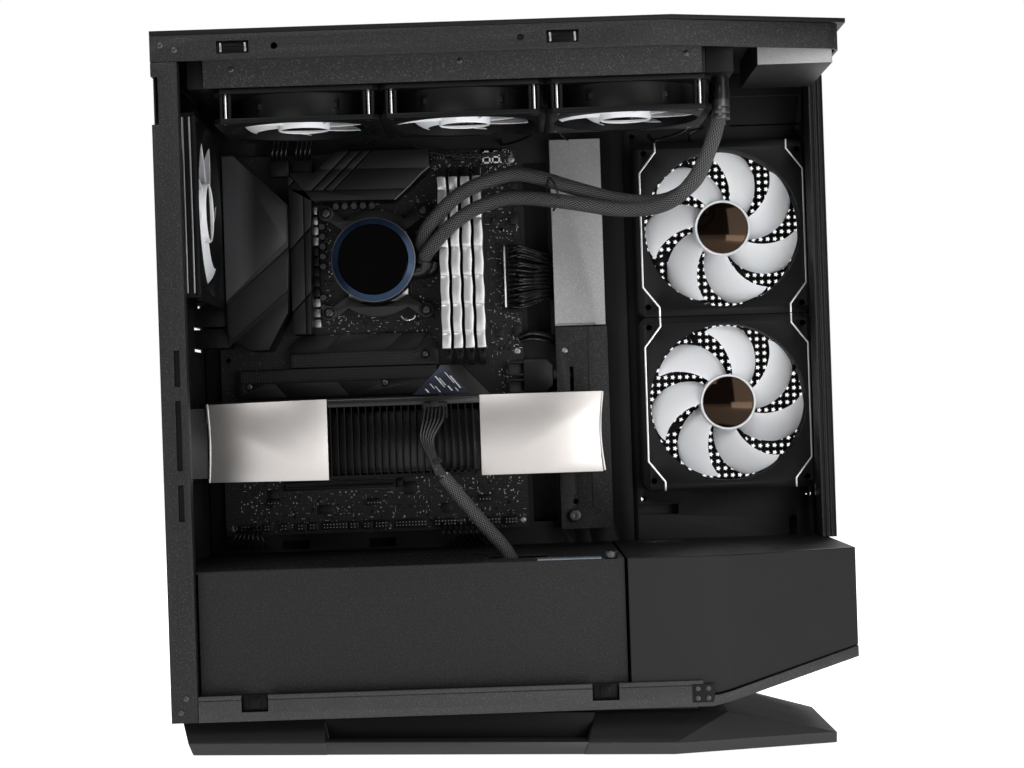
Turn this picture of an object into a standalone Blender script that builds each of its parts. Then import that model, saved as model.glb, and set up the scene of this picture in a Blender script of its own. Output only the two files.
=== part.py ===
"""Desktop computer tower with an open near side, built from its separate pieces.

Everything except the base plinth is drawn in the chassis frame, in millimetres: x runs from the rear
wall to the front, y from the open side to the far side, and z up. The chassis frame leans back on the
plinth by BODY_PITCH, so its empty carries that turn. The plinth and its pads are drawn level.
"""
import math

import bmesh
import bpy
from mathutils import Matrix, Vector

MM = 0.001

# Driving dimensions, in millimetres
BODY_PITCH = math.radians(1.75)
HALF_DEPTH = 125.0
GROUND_DROP = 246.0
CENTRE_SHIFT = 0.94

DEPTH = 250.0
SHEET = 1.5
GAP = 0.3
REAR = -250.0
REAR_INSIDE = REAR + SHEET + GAP
FRONT = 251.2
BEZEL_FRONT = 247.0

COVER_TOP = 278.5
COVER_BOTTOM = 275.3
RING_TOP = 275.0
RING_BOTTOM = 256.5
RING_CORNER = 15.0
ROOF_TOP = 270.0
ROOF_BOTTOM = 268.5
UPRIGHT_TOP = RING_BOTTOM - GAP
PAN_BOTTOM = -214.5
PAN_TOP = PAN_BOTTOM + SHEET
RAIL_TOP = -196.0
SHROUD_TOP = -108.0
BEZEL_TOP = -107.5

TRAY_FACE = 222.0
FAN_WALL_FACE = 232.0
BOARD_FACE = 214.0

BLADE_SWEEP = math.radians(34)
BLADE_ROOT_WIDTH = math.radians(44)
CASE_FAN = 139.5
RADIATOR_FAN = 119.6
FAN_DEPTH = 25.0
SIDE_FAN_DEPTH = 26.4
RADIATOR_FAN_XS = (-149.0, -29.0, 91.0)
RADIATOR_FAN_Y = 80.5
RADIATOR_BOTTOM = 239.0
RADIATOR_TOP = 268.0
SIDE_FAN_X = 173.0
SIDE_FAN_ZS = (141.3, 1.5)
REAR_FAN_YZ = (100.0, 157.0)

CARD_X = (-231.0, 69.0)
CARD_Y = (92.0, 200.0)
CARD_Z = (-47.5, 13.5)
CARD_WINDOW_X = (-140.0, -25.0)
CARD_FAN_XS = (-186.0, 20.0)
CARD_FAN_RADIUS = 42.0

PSU_X = (REAR_INSIDE, -98.0)
PSU_Y = (20.0, 170.0)
PSU_Z = (-209.5, -123.5)

PSU_SWITCH_Y = 112.0

MEMORY_XS = [-50.0 + 9.07 * stick for stick in range(4)]
PUMP_CENTRE = (-105.0, 121.5)
PUMP_RADIUS = 32.5
HOSE_RADIUS = 5.5

# Routes of the hoses and of the card's power lead, as (x, z, y) points
HOSE_ROUTES = {
    "coolant_hose_lower": [(-66.5, 120.4, 163.3), (-61, 128, 157.5), (-44, 144.8, 146), (-22, 158, 139),
                           (5.5, 163.5, 128), (44, 157.5, 108), (87, 148.5, 90), (118, 150, 72),
                           (138, 165, 59), (151.5, 190, 50), (157.8, 212, 46), (159.5, 231.8, 45)],
    "coolant_hose_upper": [(-63.5, 121.5, 178.5), (-67.2, 132.5, 169), (-60, 147.5, 154), (-34, 170, 141),
                           (0, 181, 132), (22, 179, 124), (55, 167, 112), (87, 157, 104), (119, 155, 97),
                           (141, 167, 89), (153, 190, 81), (158.3, 212, 76), (159.5, 231.8, 75)],
}
CARD_CABLE_POINTS = [(-58, 2, 84), (-61, -8, 76), (-63, -21, 70), (-59, -36, 67), (-53, -47, 66),
                     (-40, -64, 67), (-24, -84, 69), (-10, -101, 72), (-4, -113, 74), (-2, -126, 76)]

POWER_BUTTON_AT = (218.0, 120.0)
RESET_BUTTON_AT = (218.0, 146.0)

# name: (colour, roughness, metallic)
FINISHES = {
    "black_steel": ((0.022, 0.022, 0.024), 0.55, 0.3),
    "grey_plastic": ((0.045, 0.045, 0.048), 0.5, 0.0),
    "black_plastic": ((0.012, 0.012, 0.013), 0.45, 0.0),
    "fan_frame": ((0.035, 0.036, 0.04), 0.5, 0.0),
    "white_blade": ((0.75, 0.76, 0.78), 0.35, 0.0),
    "dark_heatsink": ((0.03, 0.031, 0.036), 0.45, 0.6),
    "card_silver": ((0.62, 0.58, 0.54), 0.35, 0.85),
    "memory_silver": ((0.7, 0.7, 0.7), 0.35, 0.8),
    "circuit_board": ((0.015, 0.016, 0.018), 0.5, 0.0),
    "black_braid": ((0.02, 0.02, 0.02), 0.8, 0.0),
    "rubber": ((0.02, 0.02, 0.02), 0.9, 0.0),
    "bare_steel": ((0.6, 0.6, 0.6), 0.3, 1.0),
}

AXES = "xyz"


# Drawing helpers: a shape is a pair of vertex and face lists

def block(x, y, z):
    """A box between three (low, high) spans."""
    verts = [(i, j, k) for i in x for j in y for k in z]
    faces = [(0, 1, 3, 2), (4, 6, 7, 5), (0, 4, 5, 1), (2, 3, 7, 6), (0, 2, 6, 4), (1, 5, 7, 3)]
    return verts, faces


def prism(outline, axis, span):
    """An outline in the two axes other than axis, pushed along axis over span."""
    def place(point, height):
        values = list(point)
        values.insert(AXES.index(axis), height)
        return tuple(values)

    count = len(outline)
    verts = [place(point, height) for height in span for point in outline]
    faces = [tuple(range(count))[::-1], tuple(range(count, 2 * count))]
    for i in range(count):
        j = (i + 1) % count
        faces.append((i, j, count + j, count + i))
    return verts, faces


def circle(centre, radius, sides=32, start=0.0):
    turn = 2 * math.pi / sides
    return [(centre[0] + radius * math.cos(start + turn * i),
             centre[1] + radius * math.sin(start + turn * i)) for i in range(sides)]


def rod(centre, radius, axis, span, sides=32):
    return prism(circle(centre, radius, sides), axis, span)


def cut_square(half, corner):
    """A square outline with its corners cut off."""
    near = half - corner
    return [(near, -half), (half, -near), (half, near), (near, half),
            (-near, half), (-half, near), (-half, -near), (-near, -half)]


def hull(points):
    """The convex solid round some points."""
    form = bmesh.new()
    for point in points:
        form.verts.new(point)
    bmesh.ops.convex_hull(form, input=form.verts)
    bmesh.ops.dissolve_limit(form, angle_limit=0.001, verts=form.verts, edges=form.edges)
    form.verts.index_update()
    verts = [tuple(vert.co) for vert in form.verts]
    faces = [tuple(vert.index for vert in face.verts) for face in form.faces]
    form.free()
    return verts, faces


def smooth_route(points, steps):
    """Points of a smooth curve through the given points."""
    points = [Vector(point) for point in points]
    padded = [2 * points[0] - points[1]] + points + [2 * points[-1] - points[-2]]
    route = []
    for before, start, end, after in zip(padded, padded[1:], padded[2:], padded[3:]):
        for step in range(steps):
            t = step / steps
            lean_in = (end - before) / 2
            lean_out = (after - start) / 2
            route.append((2 * t**3 - 3 * t**2 + 1) * start + (t**3 - 2 * t**2 + t) * lean_in
                         + (3 * t**2 - 2 * t**3) * end + (t**3 - t**2) * lean_out)
    route.append(points[-1])
    return route


def tube(route, radius, sides=8):
    """A round tube along a route, closed at both ends."""
    verts = []
    side = None
    for i, point in enumerate(route):
        ahead = (route[min(i + 1, len(route) - 1)] - route[max(i - 1, 0)]).normalized()
        side = ahead.orthogonal() if side is None else side - ahead * side.dot(ahead)
        side.normalize()
        up = ahead.cross(side)
        for u, v in circle((0, 0), radius, sides):
            verts.append(tuple(point + side * u + up * v))
    faces = [tuple(range(sides))[::-1], tuple(range(len(verts) - sides, len(verts)))]
    for ring in range(len(route) - 1):
        for i in range(sides):
            j = (i + 1) % sides
            low = ring * sides
            faces.append((low + i, low + j, low + sides + j, low + sides + i))
    return verts, faces


# Building helpers

def make_materials():
    made = {}
    for name, (colour, roughness, metallic) in FINISHES.items():
        material = bpy.data.materials.new(name)
        material.use_nodes = True
        shader = material.node_tree.nodes["Principled BSDF"]
        shader.inputs["Base Color"].default_value = (*colour, 1.0)
        shader.inputs["Roughness"].default_value = roughness
        shader.inputs["Metallic"].default_value = metallic
        made[name] = material
    return made


def faces_point_in(verts, faces):
    """True when a closed shape's faces wind the wrong way, which makes its volume negative."""
    volume = 0.0
    for face in faces:
        first = Vector(verts[face[0]])
        for second, third in zip(face[1:], face[2:]):
            volume += first.dot(Vector(verts[second]).cross(Vector(verts[third])))
    return volume < 0


def mesh_of(shapes):
    """One mesh, in metres, holding all the shapes with their faces turned out."""
    form = bmesh.new()
    for verts, faces in shapes:
        order = -1 if faces_point_in(verts, faces) else 1
        made = [form.verts.new(Vector(vert) * MM) for vert in verts]
        for face in faces:
            form.faces.new([made[i] for i in face[::order]])
    mesh = bpy.data.meshes.new("shape")
    form.to_mesh(mesh)
    form.free()
    return mesh


def combine(item, operation, shapes):
    """Apply one Boolean step to an object's mesh."""
    tool = bpy.data.objects.new("tool", mesh_of(shapes))
    bpy.context.collection.objects.link(tool)
    tool.matrix_world = item.matrix_world
    step = item.modifiers.new("step", "BOOLEAN")
    step.operation = operation
    step.solver = "EXACT"
    step.use_self = True
    step.object = tool
    bpy.context.view_layer.update()
    graph = bpy.context.evaluated_depsgraph_get()
    result = bpy.data.meshes.new_from_object(item.evaluated_get(graph))
    item.modifiers.clear()
    item.data = result
    bpy.data.objects.remove(tool)


def clean(mesh):
    """Join points that meet and drop faces with no area."""
    form = bmesh.new()
    form.from_mesh(mesh)
    bmesh.ops.remove_doubles(form, verts=form.verts, dist=0.01 * MM)
    bmesh.ops.dissolve_degenerate(form, edges=form.edges, dist=0.005 * MM)
    form.to_mesh(mesh)
    form.free()


def piece(name, finish, solid, steps=(), at=(0, 0, 0), turn=(0, 0, 0), parent=None, smooth=False):
    """One named sub-part: a first solid, then Boolean steps, placed under its parent."""
    item = bpy.data.objects.new(name, mesh_of([solid]))
    bpy.context.collection.objects.link(item)
    for operation, shapes in steps:
        combine(item, operation, shapes)
    clean(item.data)
    item.data.materials.clear()
    item.data.materials.append(MATERIALS[finish])
    if smooth:
        item.data.shade_smooth()
        item.data.set_sharp_from_angle(angle=math.radians(35))
    item.parent = parent
    item.location = Vector(at) * MM
    item.rotation_euler = turn
    return item


def plan(near, far, chamfer_start, chamfer_end, rear, front):
    """A case outline seen from above: square but for its cut near-front corner."""
    return [(rear, near), (chamfer_start, near), (front, chamfer_end), (front, far), (rear, far)]


# Base plinth, level on its pads

def build_base(level):
    bottom = -244.5
    band = -236.5
    foot = [(-228, 0), (115, 0), (238, 56), (238, 194), (115, 250), (-228, 250)]
    waist = [(-231.5, 0), (115, 0), (238, 56), (238, 194), (115, 250), (-231.5, 250)]
    crown = [(-239, 25, -223.5), (155.5, 30, -218), (155.5, 220, -218), (-239, 225, -223.5)]
    lip = [(233.5, 62, -236), (233.5, 188, -236)]
    body = hull([(x, y, bottom) for x, y in foot] + [(x, y, band) for x, y in waist] + crown + lip)
    near_recess = prism([(-132, bottom - 1), (49.5, bottom - 1), (60, -216), (-138, -216)], "y", (-1, 24))
    far_recess = prism([(-132, bottom - 1), (49.5, bottom - 1), (60, -216), (-138, -216)], "y", (226, 251))
    underside = block((-205, 100), (35, 215), (bottom - 1, -232))
    air_hole = rod(psu_fan_centre(), 55, "z", (bottom, -200), 24)
    lean = Matrix.Rotation(-BODY_PITCH, 3, "Y")
    saddle_verts, saddle_faces = block((-232, 128), (45, 205), (-232, PAN_BOTTOM - GAP))
    saddle = ([tuple(lean @ Vector(vert)) for vert in saddle_verts], saddle_faces)
    piece("base_plinth", "grey_plastic", body,
          [("UNION", [saddle]), ("DIFFERENCE", [near_recess, far_recess, underside, air_hole])], parent=level)
    for end, x in (("rear", -190), ("front", 150)):
        for side, y in (("near", 38 if end == "front" else 22), ("far", 212 if end == "front" else 228)):
            outline = [(x - 14, y - 6), (x + 14, y - 6), (x + 14, y + 6), (x - 14, y + 6)]
            pad = prism(outline, "z", (-GROUND_DROP, bottom - GAP))
            piece(f"foot_pad_{end}_{side}", "rubber", pad, parent=level)


# Chassis sheet metal

def bottom_frame(chassis):
    start = (140.0, -206.5)
    end = (BEZEL_FRONT, -179.5)
    outer = [(-248.2, PAN_BOTTOM), (136, PAN_BOTTOM), (BEZEL_FRONT, -187.5), end, start,
             (129, start[1]), (129, RAIL_TOP), (-248.2, RAIL_TOP)]
    above_sheet = [(-260, PAN_TOP), (136, PAN_TOP), (260, -182.5), (260, -100), (-260, -100)]
    outline = plan(0, DEPTH, 150, 45, -248.2, BEZEL_FRONT)
    inside = plan(3, DEPTH - 3, 149.2, 46.9, -260, BEZEL_FRONT - 3)
    hollow = mesh_intersection(prism(inside, "z", (-300, -90)), prism(above_sheet, "y", (-1, DEPTH + 1)))
    clip_holes = [block((x, x + 19), (-1, 4), (-208, RAIL_TOP + 1)) for x in (-200, 50)]
    fan_hole = rod(psu_fan_centre(), 62, "z", (-230, -200), 24)
    pillar_notch = block((-260, -230.7), (-1, 12.3), (-230, -190))
    rear_notch = block((-260, -247.9), (-1, DEPTH + 1), (-230, -190))
    piece("bottom_frame", "black_steel", prism(outer, "y", (0, DEPTH)),
          [("INTERSECT", [prism(outline, "z", (-300, -90))]),
           ("DIFFERENCE", [hollow]),
           ("DIFFERENCE", clip_holes + [fan_hole, pillar_notch, rear_notch])], parent=chassis)


def mesh_intersection(first, second):
    """The shape shared by two shapes."""
    item = bpy.data.objects.new("shared", mesh_of([first]))
    bpy.context.collection.objects.link(item)
    combine(item, "INTERSECT", [second])
    verts = [tuple(vert.co / MM) for vert in item.data.vertices]
    faces = [tuple(face.vertices) for face in item.data.polygons]
    bpy.data.objects.remove(item)
    return verts, faces


def psu_fan_centre():
    return (sum(PSU_X) / 2, sum(PSU_Y) / 2)


def rear_panel(chassis):
    through = (REAR - 1, REAR + 3)
    fan_opening = rod(REAR_FAN_YZ, 65, "x", through, 32)
    io_opening = block(through, (170.5, 213.5), (55, 208))
    psu_opening = block(through, (PSU_Y[0] + 3, PSU_Y[1] - 3), (PSU_Z[0] + 3, PSU_Z[1] - 3))
    card_slot = block(through, (100, 200), (-44, 10))
    plate = block((REAR, REAR + SHEET), (12.3, DEPTH - 1.8), (PAN_BOTTOM, UPRIGHT_TOP))
    piece("rear_panel", "black_steel", plate,
          [("DIFFERENCE", [fan_opening, io_opening, psu_opening, card_slot])], parent=chassis)


def rear_pillar(chassis):
    outer = block((REAR, -231), (0, 12), (PAN_BOTTOM, UPRIGHT_TOP))
    inner = block((REAR + SHEET, -231 - SHEET), (2, 13), (PAN_BOTTOM - 1, UPRIGHT_TOP + 1))
    notch = block((REAR - 1, REAR + 5), (-1, 13), (212, 246))
    slots = [block((-240, -236), (-1, 3), (z - reach, z + reach))
             for z, reach in ((38, 13), (-10, 25), (-58, 13))]
    piece("rear_pillar", "black_steel", outer, [("DIFFERENCE", [inner, notch] + slots)], parent=chassis)


def ring_plan(inset):
    """The top frame's outline, moved inwards by inset."""
    rear = REAR + inset
    front = BEZEL_FRONT - inset
    round_end = 4
    corner = []
    for step in range(round_end + 1):
        turn = math.radians(-72 + 72 * step / round_end)
        reach = RING_CORNER - inset
        corner.append((front - reach + reach * math.cos(turn), 52 + reach * math.sin(turn)))
    near_side = [(rear, inset), (118 - inset * 0.16, inset)]
    return near_side + corner + [(front, DEPTH - inset), (rear, DEPTH - inset)]


def top_frame(chassis):
    wall = 2.5
    below = prism(ring_plan(wall), "z", (RING_BOTTOM - 1, ROOF_BOTTOM))
    above = prism(ring_plan(wall), "z", (ROOF_TOP, RING_TOP + 1))
    vents = [block((-205, 150), (26, 136), (ROOF_BOTTOM - 1, ROOF_TOP + 1)),
             block((-205, 150), (150, 205), (ROOF_BOTTOM - 1, ROOF_TOP + 1))]
    strip = block((-215, 144), (17.5, 19), (RADIATOR_BOTTOM, ROOF_BOTTOM + 0.5))
    piece("top_frame", "black_steel", prism(ring_plan(0), "z", (RING_BOTTOM, RING_TOP)),
          [("DIFFERENCE", [below, above]), ("DIFFERENCE", vents), ("UNION", [strip])], parent=chassis)


def top_cover(chassis):
    outline = plan(0, DEPTH, 122, 41, REAR, 251.5)
    holes = [rod(at, radius, "z", (COVER_BOTTOM - 1, COVER_TOP + 1), 24)
             for at, radius in ((POWER_BUTTON_AT, 8), (RESET_BUTTON_AT, 5))]
    piece("top_cover", "black_steel", prism(outline, "z", (COVER_BOTTOM, COVER_TOP)),
          [("DIFFERENCE", holes)], parent=chassis)


def buttons(chassis):
    span = (271.8, 279.3)
    for name, at, radius in (("power_button", POWER_BUTTON_AT, 7), ("reset_button", RESET_BUTTON_AT, 4)):
        outline = circle((0, 0), radius, 24)
        piece(name, "grey_plastic", prism(outline, "z", (0, span[1] - span[0])), at=(*at, span[0]),
              parent=chassis, smooth=True)


def front_header(chassis):
    low, high = 247.0, ROOF_BOTTOM - GAP
    channel = block((189, 240), (48, 165.5), (low + 2, high + 1))
    piece("front_header", "black_steel", block((187, 242), (46, 167.5), (low, high)),
          [("DIFFERENCE", [channel])], parent=chassis)


def front_pillar(chassis):
    section = [(240, 168), (FRONT, 168), (FRONT, 248.2), (244.5, 248.2), (244.5, 200), (240, 200)]
    grooves = [block((x, x + 1.4), (167, 170), (BEZEL_TOP - 5, UPRIGHT_TOP + 5)) for x in (242.2, 245.6, 249)]
    leg = block((244.5, FRONT), (222.2, 248.2), (-178.5, BEZEL_TOP + 5))
    piece("front_pillar", "black_steel", prism(section, "z", (BEZEL_TOP + 0.5, UPRIGHT_TOP)),
          [("UNION", [leg]), ("DIFFERENCE", grooves)], parent=chassis)


def motherboard_tray(chassis):
    plate = block((-247.2, 95), (TRAY_FACE, TRAY_FACE + SHEET), (PAN_TOP + GAP, ROOF_BOTTOM - GAP))
    flange = block((95 - SHEET, 95), (TRAY_FACE, FAN_WALL_FACE - GAP), (PAN_TOP + GAP, ROOF_BOTTOM - GAP))
    cutouts = [block((14, 33), (221, 224), (60, 200)), block((14, 33), (221, 224), (-90, 20)),
               block((-200, -150), (221, 224), (226, 244))]
    piece("motherboard_tray", "black_steel", plate,
          [("UNION", [flange]), ("DIFFERENCE", cutouts)], parent=chassis)


def side_fan_wall(chassis):
    outline = [(95.3, PAN_TOP + GAP), (135, PAN_TOP + GAP), (243.6, -185.5), (243.6, ROOF_BOTTOM - GAP),
               (95.3, ROOF_BOTTOM - GAP)]
    wall = prism(outline, "y", (FAN_WALL_FACE, FAN_WALL_FACE + SHEET))
    holes = [rod((SIDE_FAN_X, z), 65, "y", (231, 235), 32) for z in SIDE_FAN_ZS]
    cable_slot = block((100, 132), (231, 235), (-88, -80))
    piece("side_fan_wall", "black_steel", wall, [("DIFFERENCE", holes + [cable_slot])], parent=chassis)


def right_side_panel(chassis):
    outline = [(REAR, RAIL_TOP + GAP), (180, RAIL_TOP + GAP), (FRONT, -177.7), (FRONT, UPRIGHT_TOP),
               (REAR, UPRIGHT_TOP)]
    piece("right_side_panel", "black_steel", prism(outline, "y", (DEPTH - SHEET, DEPTH)), parent=chassis)


def psu_shroud(chassis):
    top = block((REAR_INSIDE, 76), (8, TRAY_FACE - GAP), (SHROUD_TOP - SHEET, SHROUD_TOP))
    face = block((-229, 76), (8, 8 + SHEET), (PAN_TOP + GAP, SHROUD_TOP))
    flange = block((76 - SHEET, 76), (8, 40), (PAN_TOP + GAP, SHROUD_TOP))
    pillar_notch = block((-260, -230.7), (7, 12.3), (SHROUD_TOP - 5, SHROUD_TOP + 1))
    cable_hole = block((-22, 22), (56, 92), (SHROUD_TOP - 5, SHROUD_TOP + 1))
    piece("psu_shroud", "black_steel", top,
          [("UNION", [face, flange]), ("DIFFERENCE", [pillar_notch, cable_hole])], parent=chassis)


def front_bezel(chassis):
    wall = 2.5
    back = 221.6
    side = [(78, BEZEL_TOP), (BEZEL_FRONT, BEZEL_TOP), (BEZEL_FRONT, -179), (140, -206), (78, -206)]
    outline = plan(3.5, back, 150, 46, 78, BEZEL_FRONT)
    inside = plan(3.5 + wall, back - wall, 149.3, 47.5, 70, BEZEL_FRONT - wall)
    piece("front_bezel", "grey_plastic", prism(side, "y", (0, back)),
          [("INTERSECT", [prism(outline, "z", (-300, 0))]),
           ("DIFFERENCE", [prism(inside, "z", (-300, BEZEL_TOP - wall))])], parent=chassis)


def cable_bars(chassis):
    upper = prism([(36, 67), (76.5, 67), (76.5, 216), (36, 216)], "y", (203, TRAY_FACE - GAP))
    hollow = block((38, 74.5), (205, 223), (69, 214))
    piece("cable_bar", "black_steel", upper, [("DIFFERENCE", [hollow])], parent=chassis)
    lower = prism([(36, -96), (77.5, -96), (77.5, 66), (36, 66)], "y", (203, TRAY_FACE - GAP))
    lower_hollow = block((38, 75.5), (205, 223), (-94, 64))
    slot = block((46.5, 49.5), (202, 206), (14, 34))
    piece("gpu_holder_bracket", "black_steel", lower, [("DIFFERENCE", [lower_hollow, slot])], parent=chassis)


# Fans: drawn with the struts at z = 0 and the open blade side at +z

def fan_bore(size):
    return 0.45 * size


def fan_frame(name, size, depth, finish, at, turn, chassis):
    half = size / 2
    bore = fan_bore(size)
    flange = 4.0
    hub = 21.0
    barrel = rod((0, 0), bore + 2, "z", (1, depth - 1), 28)
    top_flange = prism(cut_square(half, 5), "z", (depth - flange, depth))
    post = half - 9
    posts = [rod((x, y), 6, "z", (1, depth - 1), 6) for x in (-post, post) for y in (-post, post)]
    struts = [prism([(12, -2.5), (bore + 1, -2.5), (bore + 1, 2.5), (12, 2.5)], "z", (0.5, 3.5))]
    struts.append(prism([(-bore - 1, -2.5), (-12, -2.5), (-12, 2.5), (-bore - 1, 2.5)], "z", (0.5, 3.5)))
    struts.append(prism([(-2.5, 12), (2.5, 12), (2.5, bore + 1), (-2.5, bore + 1)], "z", (0.5, 3.5)))
    struts.append(prism([(-2.5, -bore - 1), (2.5, -bore - 1), (2.5, -12), (-2.5, -12)], "z", (0.5, 3.5)))
    motor = rod((0, 0), hub, "z", (0, 4), 24)
    return piece(name, finish, prism(cut_square(half, 5), "z", (0, flange)),
                 [("UNION", [barrel, top_flange] + posts),
                  ("DIFFERENCE", [rod((0, 0), bore, "z", (-1, depth + 1), 28)]),
                  ("UNION", [motor] + struts)],
                 at=at, turn=turn, parent=chassis, smooth=True)


def blade(angle, root, tip, low, high, sweep, width, thickness, across=3, out=3):
    """One fan blade: a thin twisted sheet from the hub out to its tip."""
    sheets = []
    for lift in (0.0, thickness):
        for i in range(out + 1):
            share = i / out
            radius = root + (tip - root) * share
            middle = angle + sweep * share ** 1.3
            half_width = width * (1.0 - 0.27 * share) / 2
            for j in range(across + 1):
                chord = j / across
                turn = middle + half_width * (2 * chord - 1)
                height = low + (high - low) * chord + 1.5 * math.sin(math.pi * chord) + lift
                sheets.append((radius * math.cos(turn), radius * math.sin(turn), height))
    row = across + 1
    layer = row * (out + 1)
    faces = []
    for i in range(out):
        for j in range(across):
            a = i * row + j
            quad = (a, a + 1, a + row + 1, a + row)
            faces.append(quad[::-1])
            faces.append(tuple(layer + k for k in quad))
    edge = [j for j in range(across)] + [i * row + across for i in range(out)]
    edge += [layer - 1 - j for j in range(across)] + [(out - i) * row for i in range(out)]
    for a, b in zip(edge, edge[1:] + edge[:1]):
        faces.append((a, b, layer + b, layer + a))
    return sheets, faces


def fan_rotor(name, finish, tip, depth, at, turn, chassis, hub=20.0, across=3):
    count = 7
    blades = [blade(2 * math.pi * k / count, hub - 1.5, tip, 7.0, depth - 3.5, BLADE_SWEEP,
                    BLADE_ROOT_WIDTH, 1.6, across) for k in range(count)]
    return piece(name, finish, rod((0, 0), hub, "z", (4.6, depth - 1), 28), [("UNION", blades)],
                 at=at, turn=turn, parent=chassis, smooth=True)


def case_fan(naming, size, depth, at, turn, chassis, across=3):
    """A frame and its rotor, named by filling in which of the two they are."""
    frame_name, rotor_name = (naming.format(kind) for kind in ("frame", "rotor"))
    fan_frame(frame_name, size, depth, "fan_frame", at, turn, chassis)
    fan_rotor(rotor_name, "white_blade", fan_bore(size) - 1.4, depth, at, turn, chassis, 0.161 * size, across)


def case_fans(chassis):
    for number, x in enumerate(RADIATOR_FAN_XS, 1):
        at = (x, RADIATOR_FAN_Y, RADIATOR_BOTTOM - GAP)
        naming = f"radiator_fan_{{}}_{number}"
        case_fan(naming, RADIATOR_FAN, FAN_DEPTH, at, (math.pi, 0, 0), chassis, across=2)
    rear_at = (REAR_INSIDE, *REAR_FAN_YZ)
    case_fan("rear_fan_{}", CASE_FAN, FAN_DEPTH, rear_at, (0, math.pi / 2, 0), chassis)
    for place, z in zip(("upper", "lower"), SIDE_FAN_ZS):
        at = (SIDE_FAN_X, FAN_WALL_FACE - GAP, z)
        case_fan(f"side_fan_{{}}_{place}", CASE_FAN, SIDE_FAN_DEPTH, at, (math.pi / 2, 0, 0), chassis)


# Motherboard and what it carries

def motherboard(chassis):
    back = BOARD_FACE + 1.6
    board = block((-234, 10), (BOARD_FACE, back), (-93.5, 211.5))
    standoffs = [rod((x, z), 3, "y", (back - 0.5, TRAY_FACE - GAP), 8)
                 for x in (-228, -95, 4) for z in (-88, 48, 204)]
    memory_sockets = [block((x - 3.4, x + 3.4), (206, BOARD_FACE + 0.5), (46, 190)) for x in MEMORY_XS]
    card_slots = [block((-185, -96), (203, BOARD_FACE + 0.5), (z, z + 7)) for z in (3, -58)]
    headers = [block((-2, 9.5), (201, BOARD_FACE + 0.5), (14, 41)),
               block((-220, -70), (206, BOARD_FACE + 0.5), (-91, -83))]
    piece("motherboard", "circuit_board", board,
          [("UNION", standoffs + memory_sockets + card_slots + headers)], parent=chassis)
    plug = block((-2, 10), (196, BOARD_FACE - GAP), (80, 133))
    strap = block((9.5, 16), (203, 209), (84, 129))
    piece("board_power_plug", "black_plastic", plug, [("UNION", [strap])], parent=chassis)


def memory(chassis):
    for number, x in enumerate(MEMORY_XS, 1):
        stick = block((x - 3.7, x + 3.7), (160, 205.7), (50.5, 185))
        scallops = [rod((160, 50.5 + 134.5 * (k + 0.5) / 6), 7, "x", (x - 5, x + 5), 12) for k in (0, 5)]
        shallow = [([(vx, vy - 5.2, vz) for vx, vy, vz in verts], faces) for verts, faces in scallops]
        piece(f"memory_stick_{number}", "memory_silver", stick, [("DIFFERENCE", shallow)], parent=chassis)


def board_heatsinks(chassis):
    foot = BOARD_FACE - GAP
    outline = [(-222.5, 90), (-205, 54), (-190, 54), (-168, 92), (-168, 176), (-160, 209), (-222.5, 209)]
    ports = block((-247.9, -222), (171, foot), (57, 206))
    piece("io_cover", "grey_plastic", prism(outline, "y", (166, foot)), [("UNION", [ports])], parent=chassis)
    side = [(-167.5, 66), (-151, 66), (-151, 172), (-158.5, 179), (-167.5, 174)]
    cooling_slots = [block((-168, -150), (174, 186), (z, z + 5)) for z in range(78, 166, 14)]
    piece("vrm_heatsink_side", "dark_heatsink", prism(side, "y", (178, foot)),
          [("DIFFERENCE", cooling_slots)], parent=chassis)
    top = [(-152, 177), (-69, 177), (-69, 209), (-158.5, 209), (-158.5, 184)]
    grooves = [prism([(x, 176), (x + 4, 176), (x + 22, 210), (x + 18, 210)], "y", (176, 181))
               for x in (-140, -128, -116)]
    piece("vrm_heatsink_top", "dark_heatsink", prism(top, "y", (178, foot)),
          [("DIFFERENCE", grooves)], parent=chassis)
    upper = [(-167, 40), (-58, 40), (-58, 54), (-66, 65.5), (-167, 65.5)]
    piece("m2_heatsink_upper", "dark_heatsink", prism(upper, "y", (204, foot)),
          [("DIFFERENCE", [rod((-69, 48), 5, "y", (203, 208), 16)])], parent=chassis)
    lower = [(-219, 17), (-60, 17), (-60, 39), (-219, 39)]
    piece("m2_heatsink_lower", "dark_heatsink", prism(lower, "y", (204, foot)), parent=chassis)
    cover = [(-59, -40), (-12, -40), (-12, 34), (-30, 39), (-57, 39), (-59, 37)]
    piece("chipset_heatsink", "dark_heatsink", prism(cover, "y", (203.5, foot)), parent=chassis)


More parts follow.
